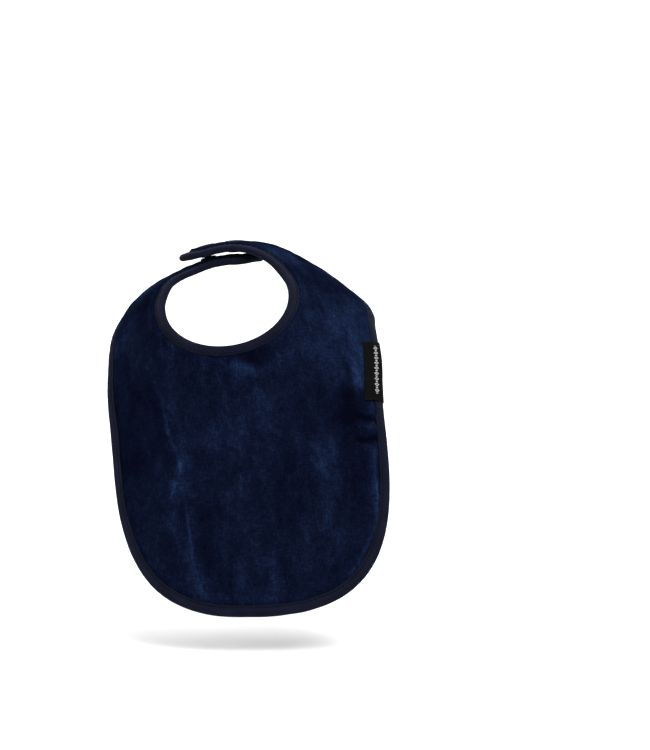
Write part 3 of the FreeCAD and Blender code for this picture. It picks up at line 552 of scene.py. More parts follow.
# =====================================================================
# Materials
# =====================================================================
class Shader:
    """Short hand for building a node material."""

    def __init__(self, name):
        self.material = bpy.data.materials.new(name)
        self.material.use_nodes = True
        self.tree = self.material.node_tree
        self.tree.nodes.clear()
        output = self.node("OutputMaterial")
        self.bsdf = self.node("BsdfPrincipled")
        self.put(output.inputs[0], self.bsdf.outputs[0])

    def node(self, kind, inputs=None, **settings):
        made = self.tree.nodes.new("ShaderNode" + kind)
        for key, value in settings.items():
            setattr(made, key, value)
        for key, value in (inputs or {}).items():
            self.put(made.inputs[key], value)
        return made

    def put(self, socket, value):
        if isinstance(value, bpy.types.NodeSocket):
            self.tree.links.new(value, socket)
        else:
            socket.default_value = value

    def surface(self, **inputs):
        for key, value in inputs.items():
            self.put(self.bsdf.inputs[key.replace("_", " ")], value)

    def coord(self, which):
        return self.node("TexCoord").outputs[which]

    def attribute(self, name):
        return self.node("Attribute", attribute_name=name).outputs["Fac"]

    def map(self, vector, stretch=(1, 1, 1), turn=0.0):
        inputs = {"Vector": vector, "Scale": stretch, "Rotation": (0, 0, rad(turn))}
        return self.node("Mapping", inputs).outputs[0]

    def noise(self, vector, scale=1.0, detail=2.0, rough=0.5, distort=0.0, stretch=None):
        if stretch:
            vector = self.map(vector, stretch)
        inputs = {"Vector": vector, "Scale": scale, "Detail": detail,
                  "Roughness": rough, "Distortion": distort}
        return self.node("TexNoise", inputs).outputs[0]

    def voronoi(self, vector, scale):
        return self.node("TexVoronoi", {"Vector": vector, "Scale": scale}).outputs[0]

    def wave(self, vector, scale, direction, distort=0.0, fine=1.0, stretch=None):
        if stretch:
            vector = self.map(vector, stretch)
        inputs = {"Vector": vector, "Scale": scale, "Distortion": distort, "Detail Scale": fine}
        return self.node("TexWave", inputs, bands_direction=direction).outputs["Fac"]

    def calc(self, operation, *values, clamp=False):
        inputs = dict(enumerate(values))
        return self.node("Math", inputs, operation=operation, use_clamp=clamp).outputs[0]

    add = partialmethod(calc, "ADD")
    sub = partialmethod(calc, "SUBTRACT")
    mul = partialmethod(calc, "MULTIPLY")
    mul_add = partialmethod(calc, "MULTIPLY_ADD")
    larger = partialmethod(calc, "MAXIMUM")
    smaller = partialmethod(calc, "MINIMUM")
    above = partialmethod(calc, "GREATER_THAN")
    below = partialmethod(calc, "LESS_THAN")
    size = partialmethod(calc, "ABSOLUTE")

    def layered(self, total, *patterns):
        """Adds patterns to a total, each as (pattern about 0.5, strength)."""
        for pattern, strength in patterns:
            total = self.mul_add(self.sub(pattern, 0.5), strength, total)
        return total

    def remap(self, value, low, high, to_low=0.0, to_high=1.0, kind="LINEAR"):
        inputs = {"Value": value, "From Min": low, "From Max": high,
                  "To Min": to_low, "To Max": to_high}
        return self.node("MapRange", inputs, interpolation_type=kind).outputs[0]

    def mix(self, share, start, end):
        start, end = ((*c, 1.0) if isinstance(c, tuple) else c for c in (start, end))
        return self.node("Mix", {0: share, 6: start, 7: end}, data_type="RGBA").outputs[2]

    def ramp(self, share, stops):
        node = self.node("ValToRGB", {0: share})
        elements = node.color_ramp.elements
        while len(elements) < len(stops):
            elements.new(0.5)
        for element, (position, colour) in zip(elements, stops):
            element.position = position
            element.color = (*colour, 1.0)
        return node.outputs[0]

    def bump(self, height, strength, distance, over=None):
        inputs = {"Strength": strength, "Distance": distance, "Height": height}
        if over is not None:
            inputs["Normal"] = over
        return self.node("Bump", inputs).outputs[0]

    def xyz(self, vector):
        return self.node("SeparateXYZ", {0: vector}).outputs


def srgb(*channels, dim=1.0):
    """Linear colour from 0-255 sRGB channels, dimmed."""
    shares = [channel / 255.0 for channel in channels]
    return tuple(dim * (c / 12.92 if c <= 10.3 / 255.0 else ((c + 0.055) / 1.055) ** 2.4)
                 for c in shares)


# painted highlight lines along the crests of creases, and painted shade lines where the strength is
# negative:
# (line on the view plane, reach, strength), mm
CREASE_LIGHT_LINES = [
    ([(-49.6551, -44.0276), (-44.5269, -51.7199), (-40.0397, -62.6173), (-37.4756, -75.4378),
      (-35.5526, -85.6942), (-31.0654, -97.2327)], 1.80, 0.24),
    ([(-35.5526, -85.6942), (-33.6295, -93.3865), (-29.1423, -103.6429), (-27.8603, -110.0532),
      (-31.0654, -119.0276), (-34.9115, -128.0019)], 2.16, 0.22),
    ([(-27.2192, -121.5917), (-23.3731, -142.7455), (-20.1679, -161.3353), (-18.2449, -178.0019),
      (-16.3218, -186.9763)], 1.80, 0.22),
    ([(93.9346, -99.7968), (95.8577, -113.8994), (96.4987, -128.0019), (95.8577, -143.3865),
      (90.7295, -156.8481), (83.6782, -171.5917), (72.7808, -182.4891)], 2.28, 0.24),
    ([(68.2936, -94.0276), (70.8577, -106.8481), (74.0628, -117.7455)], 2.16, 0.16),
    ([(29.8321, -178.0019), (33.0372, -192.1045)], 2.64, 0.20),
    ([(8.6782, -112.6173), (9.9603, -125.4378), (8.0372, -140.8224)], 2.40, 0.12),
    ([(24.0628, -161.3353), (25.9859, -185.6942)], 2.40, 0.12),
    ([(83.6782, -75.4378), (89.4474, -77.3609), (96.4987, -79.9250)], 2.40, -0.38),
    ([(83.6782, -89.5404), (89.4474, -90.8224), (96.4987, -90.1814)], 2.88, -0.34),
    ([(86.8833, -72.8737), (92.0115, -74.7968), (95.2167, -75.4378)], 1.92, 0.20),
    ([(-4.7833, -158.7712), (-2.8603, -185.6942)], 2.64, -0.12),
    ([(2.2679, -163.8994), (4.1910, -192.1045)], 2.40, -0.12),
]


def painted_crease_lines(m, uv):
    """Sum of soft thin lines of painted highlight and painted shade, each a distance to a run of
    segments laid out on the cloth.
    """
    share, psi = np.meshgrid(np.linspace(0, 1, 161), rad(np.linspace(-108, 108, 325)))
    sig = share * width(psi)
    places = seen(middle(sig, psi)).reshape(-1, 2)
    pattern = flat(sig, psi).reshape(-1, 2)
    axes = m.xyz(uv)
    ruffle = m.mul(m.sub(m.noise(uv, stretch=(150, 150, 1)), 0.5), 0.0022)
    x, y = m.add(axes[0], ruffle), axes[1]
    breaks = m.remap(m.noise(uv, stretch=(90, 70, 1)), 0.34, 0.62, to_low=0.25)
    total = None
    for line, reach, strength in CREASE_LIGHT_LINES:
        corners = [pattern[np.argmin(((places - place) ** 2).sum(-1))] * MM for place in line]
        near = None
        for start, end in zip(corners, corners[1:]):
            step_x, step_y = end - start
            square = max(step_x * step_x + step_y * step_y, 1e-10)
            from_x, from_y = m.sub(x, start[0]), m.sub(y, start[1])
            along = m.mul_add(from_x, step_x / square, m.mul(from_y, step_y / square))
            along = m.smaller(m.larger(along, 0.0), 1.0)
            off_x = m.sub(from_x, m.mul(along, step_x))
            off_y = m.sub(from_y, m.mul(along, step_y))
            distance = m.calc("SQRT", m.mul_add(off_x, off_x, m.mul(off_y, off_y)))
            near = distance if near is None else m.smaller(near, distance)
        soft = m.remap(near, 0.0, reach * MM, to_low=1.0, to_high=0.0, kind="SMOOTHSTEP")
        part = m.mul(soft, strength)
        total = part if total is None else m.add(total, part)
    return m.mul(total, breaks)


def velour_material():
    m = Shader("velour")
    uv, ob = m.coord("UV"), m.coord("Object")
    # broad clouds and streaks of the brushed nap
    broad = m.noise(uv, stretch=(26, 13, 1), detail=3, rough=0.55, distort=0.5)
    smoke = m.noise(uv, stretch=(62, 48, 1), detail=4, rough=0.62, distort=0.8)
    streak = m.noise(uv, stretch=(120, 30, 1), detail=3, rough=0.6, distort=0.3)
    blot = m.noise(ob, stretch=(150, 150, 110), detail=4, rough=0.62)
    # knit showing through
    wale = m.noise(uv, stretch=(900, 190, 1), rough=0.6)
    course = m.noise(uv, stretch=(210, 800, 1), rough=0.6)
    ribs = m.add(m.wave(uv, 232, "X", distort=1.6, fine=5, stretch=(1, 1, 1)),
                 m.wave(uv, 250, "Y", distort=1.8, fine=5, stretch=(1, 1, 1)))
    # single tufts
    grain = m.noise(ob, 620, stretch=(1, 1, 1), detail=3, rough=0.75)
    pile = m.noise(ob, 1500, detail=3, rough=0.7)
    tuft = m.voronoi(ob, 900)

    # the attribute brings nap patches with painted highlights and painted shade, and the crease lines
    # add painted highlights along crease crests
    shade = m.layered(m.attribute("nap_and_painted_light"), (broad, 0.42), (smoke, 0.62), (streak, 0.50),
                      (blot, 0.31), (grain, 0.54), (wale, 0.62), (course, 0.46))
    shade = m.mul_add(m.sub(ribs, 1.0), 0.085, shade)
    shade = m.layered(m.add(shade, painted_crease_lines(m, uv)), (pile, 0.55))
    shade = m.add(shade, 0.40, clamp=True)
    colour = m.ramp(shade, [
        (0.0, srgb(5, 7, 21, dim=0.66)), (0.30, srgb(8, 12.5, 30, dim=0.74)),
        (0.50, srgb(11.5, 18, 38, dim=0.78)), (0.75, srgb(18, 29, 54, dim=0.82)),
        (1.0, srgb(27, 44, 76, dim=0.885))])
    tufts = m.bump(m.mul_add(tuft, 0.6, pile), strength=0.55, distance=0.00035)
    m.surface(Base_Color=colour,
              Roughness=m.remap(shade, 0, 1, to_low=0.95, to_high=0.85),
              Specular_IOR_Level=0.0,
              Sheen_Weight=m.remap(shade, 0.1, 1, to_low=0.015, to_high=0.10),
              Sheen_Roughness=0.40, Sheen_Tint=(0.10, 0.22, 0.46, 1),
              Normal=m.bump(m.mul_add(streak, 0.5, blot), strength=0.35, distance=0.0009,
                            over=tufts))
    return m.material


def tape_material():
    m = Shader("binding_tape")
    uv, ob = m.coord("UV"), m.coord("Object")
    # bias-cut plain weave: two thread systems at 45 degrees to the tape
    bias = m.map(uv, turn=45)
    warp = m.wave(bias, 420, "X", distort=0.6, fine=3)
    weft = m.wave(bias, 420, "Y", distort=0.6, fine=3)
    weave = m.mul(m.size(m.sub(warp, weft)), 1.0)
    slub = m.noise(uv, stretch=(60, 260, 1), detail=3, rough=0.6)
    wear = m.noise(ob, 90, detail=3)
    shade = m.layered(m.mul(weave, 0.45), (wear, 0.8), (slub, 0.9))
    shade = m.add(shade, 0.2, clamp=True)
    threads = m.bump(weave, strength=0.5, distance=0.00018)
    m.surface(Base_Color=m.ramp(shade, [(0.0, srgb(9, 11, 20)), (0.5, srgb(14.3, 16.8, 31)),
                                        (1.0, srgb(22.4, 25.4, 44))]),
              Roughness=0.92, Specular_IOR_Level=0.03, Sheen_Weight=0.04, Sheen_Roughness=0.5,
              Sheen_Tint=(0.45, 0.5, 0.65, 1),
              Normal=m.bump(slub, strength=0.35, distance=0.0004, over=threads))
    return m.material


def backing_material():
    m = Shader("waterproof_backing")
    uv, ob = m.coord("UV"), m.coord("Object")
    weave = m.mul(m.wave(uv, 620, "X", distort=0.4, fine=2),
                  m.wave(uv, 620, "Y", distort=0.4, fine=2))
    # thin ribs in a square net
    rib = m.larger(*(m.above(m.wave(uv, 38, way), 0.985) for way in "XY"))
    cloud = m.noise(ob, 45, detail=4, rough=0.55, distort=0.3)
    fine = m.noise(ob, 900, rough=0.6)
    shade = m.layered(m.mul_add(weave, 0.35, m.mul(rib, 0.22)), (cloud, 0.7))
    shade = m.add(shade, 0.25, clamp=True)
    net = m.bump(m.mul_add(rib, 0.8, weave), strength=0.35, distance=0.00012)
    m.surface(Base_Color=m.ramp(shade, [(0.0, srgb(7, 10, 20)), (0.5, srgb(12, 17, 32)),
                                        (1.0, srgb(20, 27, 47))]),
              Roughness=m.remap(fine, 0.3, 0.7, to_low=0.56, to_high=0.70),
              Specular_IOR_Level=0.06,
              Normal=m.bump(cloud, strength=0.25, distance=0.0008, over=net))
    return m.material


def towelling_material():
    m = Shader("towelling")
    ob = m.coord("Object")
    loops = m.voronoi(ob, 1100)
    cloud = m.noise(ob, 300, detail=3, rough=0.6)
    shade = m.mul_add(loops, 0.6, m.mul(cloud, 0.5), clamp=True)
    m.surface(Base_Color=m.ramp(shade, [(0.0, srgb(196, 193, 184)), (1.0, srgb(238, 236, 229))]),
              Roughness=0.95, Sheen_Weight=0.3,
              Normal=m.bump(loops, strength=0.8, distance=0.0005))
    return m.material


def thread_material():
    m = Shader("sewing_thread")
    uv, ob = m.coord("UV"), m.coord("Object")
    ply = m.wave(m.map(uv, turn=35), 900, "X")
    fuzz = m.noise(ob, 1600, rough=0.6)
    shade = m.mul_add(fuzz, 0.5, m.mul(ply, 0.5))
    m.surface(Base_Color=m.mix(shade, srgb(7, 8, 13.5), srgb(14, 15.5, 25)),
              Roughness=0.9, Specular_IOR_Level=0.02,
              Normal=m.bump(ply, strength=0.6, distance=0.0001))
    return m.material


def label_material():
    """Black woven satin with a chain of open lozenges and bars."""
    m = Shader("side_label")
    uv, ob = m.coord("UV"), m.coord("Object")
    axes = m.xyz(uv)
    x, y = axes[0], axes[1]         # x 0..1 along the edge, y across from the fold (mm / 100)
    warp = m.wave(uv, 1.9, "X", stretch=(48, 100, 1))
    weft = m.wave(uv, 2.6, "Y", distort=0.3, stretch=(48, 100, 1))
    fuzz = m.noise(ob, 700, detail=3, rough=0.6)
    base = m.mix(m.mul_add(weft, 0.5, m.mul(fuzz, 0.5)), srgb(4, 3.8, 4), srgb(13, 12, 12))
    # 11 cells along the label, the chain 7.4 mm from the fold
    from_mid = m.size(m.sub(m.calc("FRACT", m.mul(x, 11.0)), 0.5))
    from_line = m.size(m.sub(m.mul(y, 100.0), 7.4))
    lozenge = m.add(m.mul(from_mid, 5.6), from_line)
    ring = m.mul(m.below(lozenge, 1.72), m.above(lozenge, 1.10))
    dot = m.below(lozenge, 0.36)
    bar = m.mul(m.below(m.size(m.sub(from_mid, 0.46)), 0.035), m.below(from_line, 0.8))
    # the first and last cells stay plain
    inside = m.mul(m.above(x, 0.091), m.below(x, 0.909))
    mark = m.mul(m.larger(m.larger(ring, dot), bar), inside)
    pick = m.remap(weft, 0.2, 0.8, to_low=0.62)
    white = m.mix(pick, srgb(104, 105, 110), srgb(196, 197, 201))
    selvedge = m.above(m.size(m.sub(x, 0.5)), 0.482)
    base = m.mix(m.mul(selvedge, 0.5), base, srgb(15, 15, 17))
    threads = m.bump(m.mul_add(weft, 0.6, warp), strength=0.35, distance=0.00012)
    m.surface(Base_Color=m.mix(m.mul(mark, 0.88), base, white),
              Roughness=m.remap(weft, 0, 1, to_low=0.62, to_high=0.80),
              Specular_IOR_Level=0.015,
              Normal=m.bump(mark, strength=0.5, distance=0.00025, over=threads))
    return m.material


def care_material():
    """Blank ivory satin tape with fine ribs and woven selvedges."""
    m = Shader("care_label")
    uv, ob = m.coord("UV"), m.coord("Object")
    weft = m.wave(uv, 520, "X", distort=0.3)
    warp = m.wave(uv, 900, "Y", distort=0.2)
    fuzz = m.noise(ob, 500, detail=3, rough=0.6)
    cloud = m.noise(ob, 70, detail=3)
    shade = m.mul_add(weft, 0.35, m.mul_add(fuzz, 0.35, m.mul(cloud, 0.4)), clamp=True)
    colour = m.mix(shade, srgb(142, 140, 132), srgb(190, 187, 178))
    # uv y is in metres across the tape, 12.5 mm at its middle
    selvedge = m.above(m.size(m.sub(m.xyz(uv)[1], 0.0125)), 0.0110)
    m.surface(Base_Color=m.mix(m.mul(selvedge, 0.7), colour, srgb(122, 121, 116)),
              Roughness=m.remap(weft, 0, 1, to_low=0.5, to_high=0.65),
              Specular_IOR_Level=0.12, Sheen_Weight=0.05,
              Normal=m.bump(m.mul_add(warp, 0.5, weft), strength=0.35, distance=0.00012))
    return m.material


def plastic_material(name, dark, light, rough):
    m = Shader(name)
    ob = m.coord("Object")
    flow = m.noise(ob, 160, detail=3, rough=0.55, distort=0.8)
    grain = m.noise(ob, 2600)
    scratch = m.noise(ob, stretch=(2200, 260, 900))
    gloss = m.remap(grain, 0.3, 0.7, to_low=rough - 0.04, to_high=rough + 0.05)
    m.surface(Base_Color=m.mix(flow, dark, light),
              Roughness=m.mul_add(m.remap(scratch, 0.55, 0.75), 0.18, gloss),
              Specular_IOR_Level=0.05,
              Normal=m.bump(m.mul_add(scratch, 0.3, grain), strength=0.12, distance=0.00006))
    return m.material


def stay_material():
    m = Shader("stay_fabric")
    fibres = m.noise(m.coord("Object"), 600, detail=4, rough=0.7, distort=1.0)
    m.surface(Base_Color=m.mix(fibres, srgb(188, 188, 182), srgb(226, 226, 221)), Roughness=0.9,
              Normal=m.bump(fibres, strength=0.5, distance=0.0002))
    return m.material


MATERIALS = {
    "velour": velour_material(), "tape": tape_material(), "backing": backing_material(),
    "towelling": towelling_material(), "thread": thread_material(), "label": label_material(),
    "care": care_material(), "stay": stay_material(),
    "cap": plastic_material("stud_cap_plastic", dark=srgb(9, 13, 28), light=srgb(14, 20, 40),
                            rough=0.46),
    "stud": plastic_material("stud_plastic", dark=srgb(11, 15, 30), light=srgb(17, 23, 44),
                             rough=0.48),
}
SHOULDERS = {"right_tab": [], "left_tab": []}   # shoulder pieces of each tab


def dress(ob, material):
    ob.data.materials.clear()
    ob.data.materials.append(MATERIALS[material])
    return ob


def attach(ob, node, part=""):
    """Stands in for a CAD node; listed among a tab's shoulder pieces if part is one, else rides the
    panel.
    """
    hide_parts(node)
    if part in SHOULDERS:
        SHOULDERS[part].append(ob)
    else:
        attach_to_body(ob, "panel")


def joint_frame(name):
    """A joint's place (metres) and unit axis."""
    joint = [j for j in frame["joints"] if j["name"] == name][0]
    return np.array(joint["pos_m"]), unit(np.array(joint["axis"]))


# =====================================================================
# Cloth layers
# =====================================================================
def velour_top(edge):
    """Height of the pile against distance from the edge."""
    past = edge - LIP
    tucked = 1.15
    free = 1.75 + 1.05 * np.exp(-((past - 2.6) / 2.4) ** 2) - 0.12 * np.exp(-((past - 9.0) / 4.0) ** 2)
    return tucked + (free - tucked) * smooth((past + 0.7) / 2.2)


def backing_low(edge):
    past = edge - LIP
    tucked = -1.05
    free = -1.60 - 0.35 * np.exp(-((past - 2.2) / 2.2) ** 2)
    return tucked + (free - tucked) * smooth((past + 0.7) / 2.0)


# patches of lighter and darker velour on the view plane: (x, y, half sizes, strength), mm.
# Most are patches where the nap lies the other way. Some are painted light and shade: a painted
# highlight on the right shoulder and along the puffed velour inside the right binding, a painted
# shadow under the chin below the neckline, and painted shade on the lower left flank and in the
# puckers under the label.
NAP_AND_PAINTED_LIGHT = [
    (80.473, 0.203, 16.667, 19.231, 0.42), (63.165, -11.335, 16.667, 12.821, 0.20),
    (47.140, -31.848, 29.487, 11.538, 0.22), (9.960, -42.746, 11.538, 3.846, 0.30),
    (84.319, -42.104, 6.410, 21.795, 0.30), (-2.860, -79.284, 14.103, 11.538, 0.18),
    (22.781, -79.284, 14.103, 14.103, 0.16), (-7.347, -92.746, 12.821, 7.692, 0.15),
    (-32.347, -65.181, 5.769, 19.231, 0.20), (-23.373, -108.771, 5.128, 16.667, 0.16),
    (-29.783, -121.592, 6.410, 8.974, 0.20), (-36.194, -145.951, 3.846, 5.769, 0.24),
    (-16.963, -158.771, 4.487, 21.795, 0.12), (7.396, -126.720, 5.128, 17.949, 0.20),
    (8.678, -175.438, 3.846, 16.667, 0.20), (32.396, -179.284, 5.128, 16.667, 0.18),
    (61.242, -112.617, 7.692, 23.077, 0.18), (95.858, -140.822, 3.205, 35.897, 0.26),
    (90.729, -178.002, 8.974, 8.974, 0.20), (-66.963, -13.899, 7.692, 14.103, 0.26),
    (80.473, -71.592, 19.231, 12.821, -0.42), (11.242, -34.412, 17.949, 4.487, -0.40),
    (-66.963, -95.951, 12.821, 57.692, -0.26), (58.678, 0.203, 7.692, 16.667, -0.20),
    (35.601, -128.002, 10.256, 28.205, -0.16), (79.191, -119.028, 8.974, 25.641, -0.20),
    (-10.553, -166.463, 6.410, 25.641, -0.14), (-19.527, -63.899, 10.256, 16.667, -0.10),
]
NAP_AND_PAINTED_LIGHT_STRENGTH = 0.88
# the same for smaller marks, all painted light and shade: painted shade and highlights at the puckers
# under the label and beside the long fold, and a painted shadow under the chin at the neckline
LIGHT_AND_SHADE_SPOTS = [
    (92.012, -70.951, 3.846, 3.526, 0.36), (91.371, -82.169, 4.808, 2.308, 0.32),
    (75.986, -72.874, 5.769, 15.385, -0.20), (86.883, -76.720, 5.769, 1.667, -0.22),
    (89.447, -90.502, 7.051, 2.051, -0.34), (77.909, -94.028, 5.769, 7.692, -0.14),
    (93.935, -102.361, 2.244, 10.256, 0.20), (83.678, -51.079, 5.769, 8.974, 0.18),
    (-45.168, -63.899, 4.487, 15.385, -0.16), (-40.681, -86.976, 4.487, 16.667, -0.17),
    (-34.912, -108.771, 3.846, 11.538, -0.13), (-25.937, -140.822, 3.205, 15.385, -0.10),
    (-29.142, -108.771, 2.244, 4.487, 0.26), (-32.347, -122.233, 5.128, 5.769, 0.18),
    (-22.732, -163.899, 2.564, 14.103, 0.12), (66.371, -99.156, 5.769, 12.821, 0.12),
    (80.473, -61.335, 7.692, 3.846, -0.20), (22.781, -28.002, 21.795, 5.769, -0.16),
]


def patches(x, y, table):
    return sum(strength * np.exp(-((x - at_x) / half_x) ** 2 - ((y - at_y) / half_y) ** 2)
               for at_x, at_y, half_x, half_y, strength in table)


def nap_and_painted_light_field(sig, psi):
    # nap patches with painted highlights and painted shade among them
    x, y = np.moveaxis(seen(middle(sig, psi)), -1, 0)
    cut_x, cut_y = np.moveaxis(flat(sig, psi), -1, 0)
    # noise ruffles the outlines of the patches, and less those of the spots
    nap_and_painted_light = NAP_AND_PAINTED_LIGHT_STRENGTH * patches(x + 4.4872 * NOISE_A(cut_x / 14.0, cut_y / 14.0),
                                 y - 5.7692 * NOISE_B(cut_x / 16.0, cut_y / 16.0), NAP_AND_PAINTED_LIGHT)
    nap_and_painted_light += patches(x + 1.0256 * NOISE_C(cut_x / 5.0, cut_y / 5.0),
                   y - 1.0256 * NOISE_D(cut_x / 5.0, cut_y / 5.0), LIGHT_AND_SHADE_SPOTS)
    nap_and_painted_light *= smooth((1.7 - np.abs(psi)) / 0.4)
    back = smooth((np.abs(psi) - 1.4) / 0.5)
    return nap_and_painted_light + back * 0.28 * NOISE_C(cut_x / 16.0, cut_y / 26.0)


sig, psi, cut_left, cut_right = cloth_grid(step_deg=0.72, cols=141, tab_rows=60)
edge, near_psi, near_sig = edge_distance(sig, psi)
# velour tone: nap patches together with painted highlights and painted shade
nap_and_painted_light = nap_and_painted_light_field(sig, psi)
cut_x, cut_y = np.moveaxis(flat(sig, psi), -1, 0)
cloth_uv = flat(sig, psi) * MM
# pile height varies a little with the brushed nap
pile = 0.16 * NOISE_E(cut_x / 3.2, cut_y / 4.5) + 0.10 * NOISE_C(cut_x / 1.7, cut_y / 2.2)
free = smooth((edge - LIP) / 3.0)
base = middle(sig, psi)
base_normal = normal(sig, psi)
base_height = lift(psi) + folds(sig, psi)


def layer(offset):
    return (base + base_normal * (base_height + offset)[..., None]) * MM


def stud_dent(side, depth, rise, disc):
    """A stud's disc (of that radius) presses in and the cloth stands up round it."""
    height = np.zeros(sig.shape)
    for stud in STUDS:
        if stud[0] == side:
            gap = stud_distance(sig, psi, stud) - disc
            height += rise * np.exp(-((gap - 1.7) / 1.1) ** 2) - depth * smooth((0.6 - gap) / 0.9)
    return height


top = velour_top(edge) + pile * free + creases(psi, base, DENTS) * free
top += np.where(psi > 0, stud_dent(1, depth=0.10, rise=0.55, disc=6.2),
                stud_dent(-1, depth=0.12, rise=0.45, disc=5.35))
low = backing_low(edge)
low -= np.where(psi > 0, stud_dent(1, depth=0.05, rise=0.3, disc=6.0),
                stud_dent(-1, depth=0.05, rise=0.3, disc=6.2))

# side label: its ends on the outer edge, its reach over the cloth, and how far it leans
LABEL_START, LABEL_END = rad(56.7), rad(80.6)
LABEL_LEG = 14.2
LEAN_START, LEAN_END = 0.14, 0.38


def edge_radius(psi):
    """mm along the outer edge per radian."""
    return radius_at(width(psi), psi) * slant(psi)


def label_shift(psi, depth):
    """Turn in psi that the label's lean makes at a depth inside the edge."""
    share = np.clip((psi - LABEL_START) / (LABEL_END - LABEL_START), 0, 1)
    return (LEAN_START + (LEAN_END - LEAN_START) * share) * depth / edge_radius(psi)


# the pile lies flat under the folded label
label_psi = near_psi + label_shift(near_psi, edge)
from_end = np.minimum(label_psi - LABEL_START, LABEL_END - label_psi) * edge_radius(near_psi)
under = smooth(from_end + 0.9) * smooth(LABEL_LEG + 0.9 - edge) * (near_sig > 10)
top = top * (1 - under) + np.minimum(top, 1.60) * under
low = low * (1 - under) + np.maximum(low, -1.60) * under

# first and last grid row of each part of the cloth
PARTS = {"": (0 + cut_left, cut_right), "right_tab": (cut_right, len(sig) - 1),
         "left_tab": (0, cut_left)}
for name, material, slot, body_node, tab_node, upper, lower in (
        ("velour_front", "velour", "velour", "velour_panel", "velour", top, 0.22),
        ("coated_back", "backing", "waterproof_backing", "waterproof_backing", "backing",
         -0.98, low)):
    upper, lower = layer(upper), layer(lower)
    upper_normals, lower_normals = grid_normals(upper, base_normal), grid_normals(lower, -base_normal)
    for part, (first, last) in PARTS.items():
        rows = slice(first, last + 1)
        ob = shell(f"{name}_{part}" if part else name, upper[rows], lower[rows], cloth_uv[rows],
                   floats={"nap_and_painted_light": nap_and_painted_light[rows], "edge": edge[rows] * MM},
                   normals=(upper_normals[rows], lower_normals[rows]))
        dress(ob, material)
        attach(ob, f"{part}_{tab_node}" if part else body_node, part)

# towelling between the two faces, on every second column
for part, (first, last) in PARTS.items():
    core = (slice(first, last + 1), slice(1, -1, 2))
    ob = shell("towelling_core_" + (part or "body"), layer(0.02)[core], layer(-0.78)[core],
               cloth_uv[core])
    dress(ob, "towelling")
    attach(ob, part + "_core" if part else "towelling_core", part)

# =====================================================================
# Binding tape, folded over the edge
# =====================================================================
# half sections from the lip to the fold: (distance inside the edge, offset), mm
TAPE_OUTSIDE = [
    (6.60, 1.42), (6.56, 1.70), (6.35, 1.95), (5.95, 2.07), (5.45, 1.98), (5.10, 1.88),
    (4.70, 1.97), (4.00, 2.18), (3.15, 2.30), (2.20, 2.26), (1.40, 2.06), (0.75, 1.72),
    (0.30, 1.28), (0.04, 0.78), (-0.08, 0.25)]
TAPE_INSIDE = [
    (6.32, 1.36), (6.1, 1.42), (5.8, 1.46), (5.5, 1.46), (5.2, 1.44), (4.9, 1.42),
    (4.6, 1.42), (3.9, 1.46), (3.2, 1.50), (2.3, 1.46), (1.7, 1.36), (1.2, 1.16),
    (0.86, 0.90), (0.66, 0.56), (0.58, 0.18)]


def both_legs(half, shift=0.0):
    """A half section and its mirror image on the back of the cloth."""
    return np.array(half + [(depth, -(offset + shift)) for depth, offset in half][::-1])


def tape_mesh(name, path, sign, arc, phase):
    outside, inside = both_legs(TAPE_OUTSIDE), both_legs(TAPE_INSIDE, -0.12)
    section = np.concatenate([outside, inside[::-1]])
    is_outside = (np.arange(len(section)) < len(outside)).astype(float)
    arc = arc[:, None]
    zero = np.zeros_like(arc)
    # the tape ripples a little between stitches and its lip wanders
    wander = 0.16 * NOISE_D(arc / 9.0 + phase, zero) + 0.10 * NOISE_E(arc / 3.1 + phase, zero)
    ripple = 0.09 * NOISE_B(arc / 2.4 + phase, zero) + 0.10 * NOISE_A(arc / 7.5 + phase, zero)
    depth, offset = section.T
    bulge = np.exp(-((depth - 2.6) / 1.8) ** 2) * is_outside
    offset = offset + np.sign(offset) * ripple * bulge
    depth = depth + wander * np.clip(depth / LIP, 0, 1) * is_outside
    points = cloth_point(*inset(path, sign, depth), offset)
    rows, cols = points.shape[:2]
    quads = [tube_quads(rows, cols)]
    for start, way in ((0, 1), ((rows - 1) * cols, -1)):
        caps = [[start + i, start + i + 1, start + cols - 2 - i, start + cols - 1 - i][::way]
                for i in range(cols // 2 - 1)]
        quads.append(np.array(caps))
    quads = np.concatenate(quads)
    # faces and normals outward, judged on the velour side
    i, j = rows // 2, 8
    outward = points[i, j] - points[i, cols - 1 - j]
    facing = np.cross(points[i, j + 1] - points[i, j], points[i + 1, j] - points[i, j])
    if np.dot(facing, outward) < 0:
        quads = quads[:, ::-1]
    uv = np.stack(np.broadcast_arrays(arc * MM, run_along(section)[None] * MM), -1)
    # normals are taken from the sweep itself, so that they match across the split
    ring = np.concatenate([points[:, -1:], points, points[:, :1]], 1)
    normals = unit(np.cross(np.gradient(points, axis=0), (ring[:, 2:] - ring[:, :-2]) * 0.5))
    if np.dot(normals[i, j], outward) < 0:
        normals = -normals
    ob = build(name, points.reshape(-1, 3), quads, uv=uv.reshape(-1, 2),
               normals=normals.reshape(-1, 3))
    return dress(ob, "tape")


TAPE_STEP = 1.5
TAPE_PHASES = {"outer": 0.0, "neck": 31.0, "right_tab": 57.0, "left_tab": 83.0}
tapes = {}
for part, phase in TAPE_PHASES.items():
    path, arc = resample(PATHS[part], TAPE_STEP)
    tapes[part] = path, inward_sign(path)
    attach(tape_mesh(part + "_binding_tape", *tapes[part], arc, phase), part + "_binding", part)


# =====================================================================
# Stitches
# =====================================================================
# stations along a stitch: (place in half lengths, share of the radius, rise in mm)
STITCH_STATIONS = np.array([(-1.0, 0.35, -0.24), (-0.8, 0.85, -0.06), (-0.35, 1.0, 0.06),
                            (0.35, 1.0, 0.06), (0.8, 0.85, -0.06), (1.0, 0.35, -0.24)])


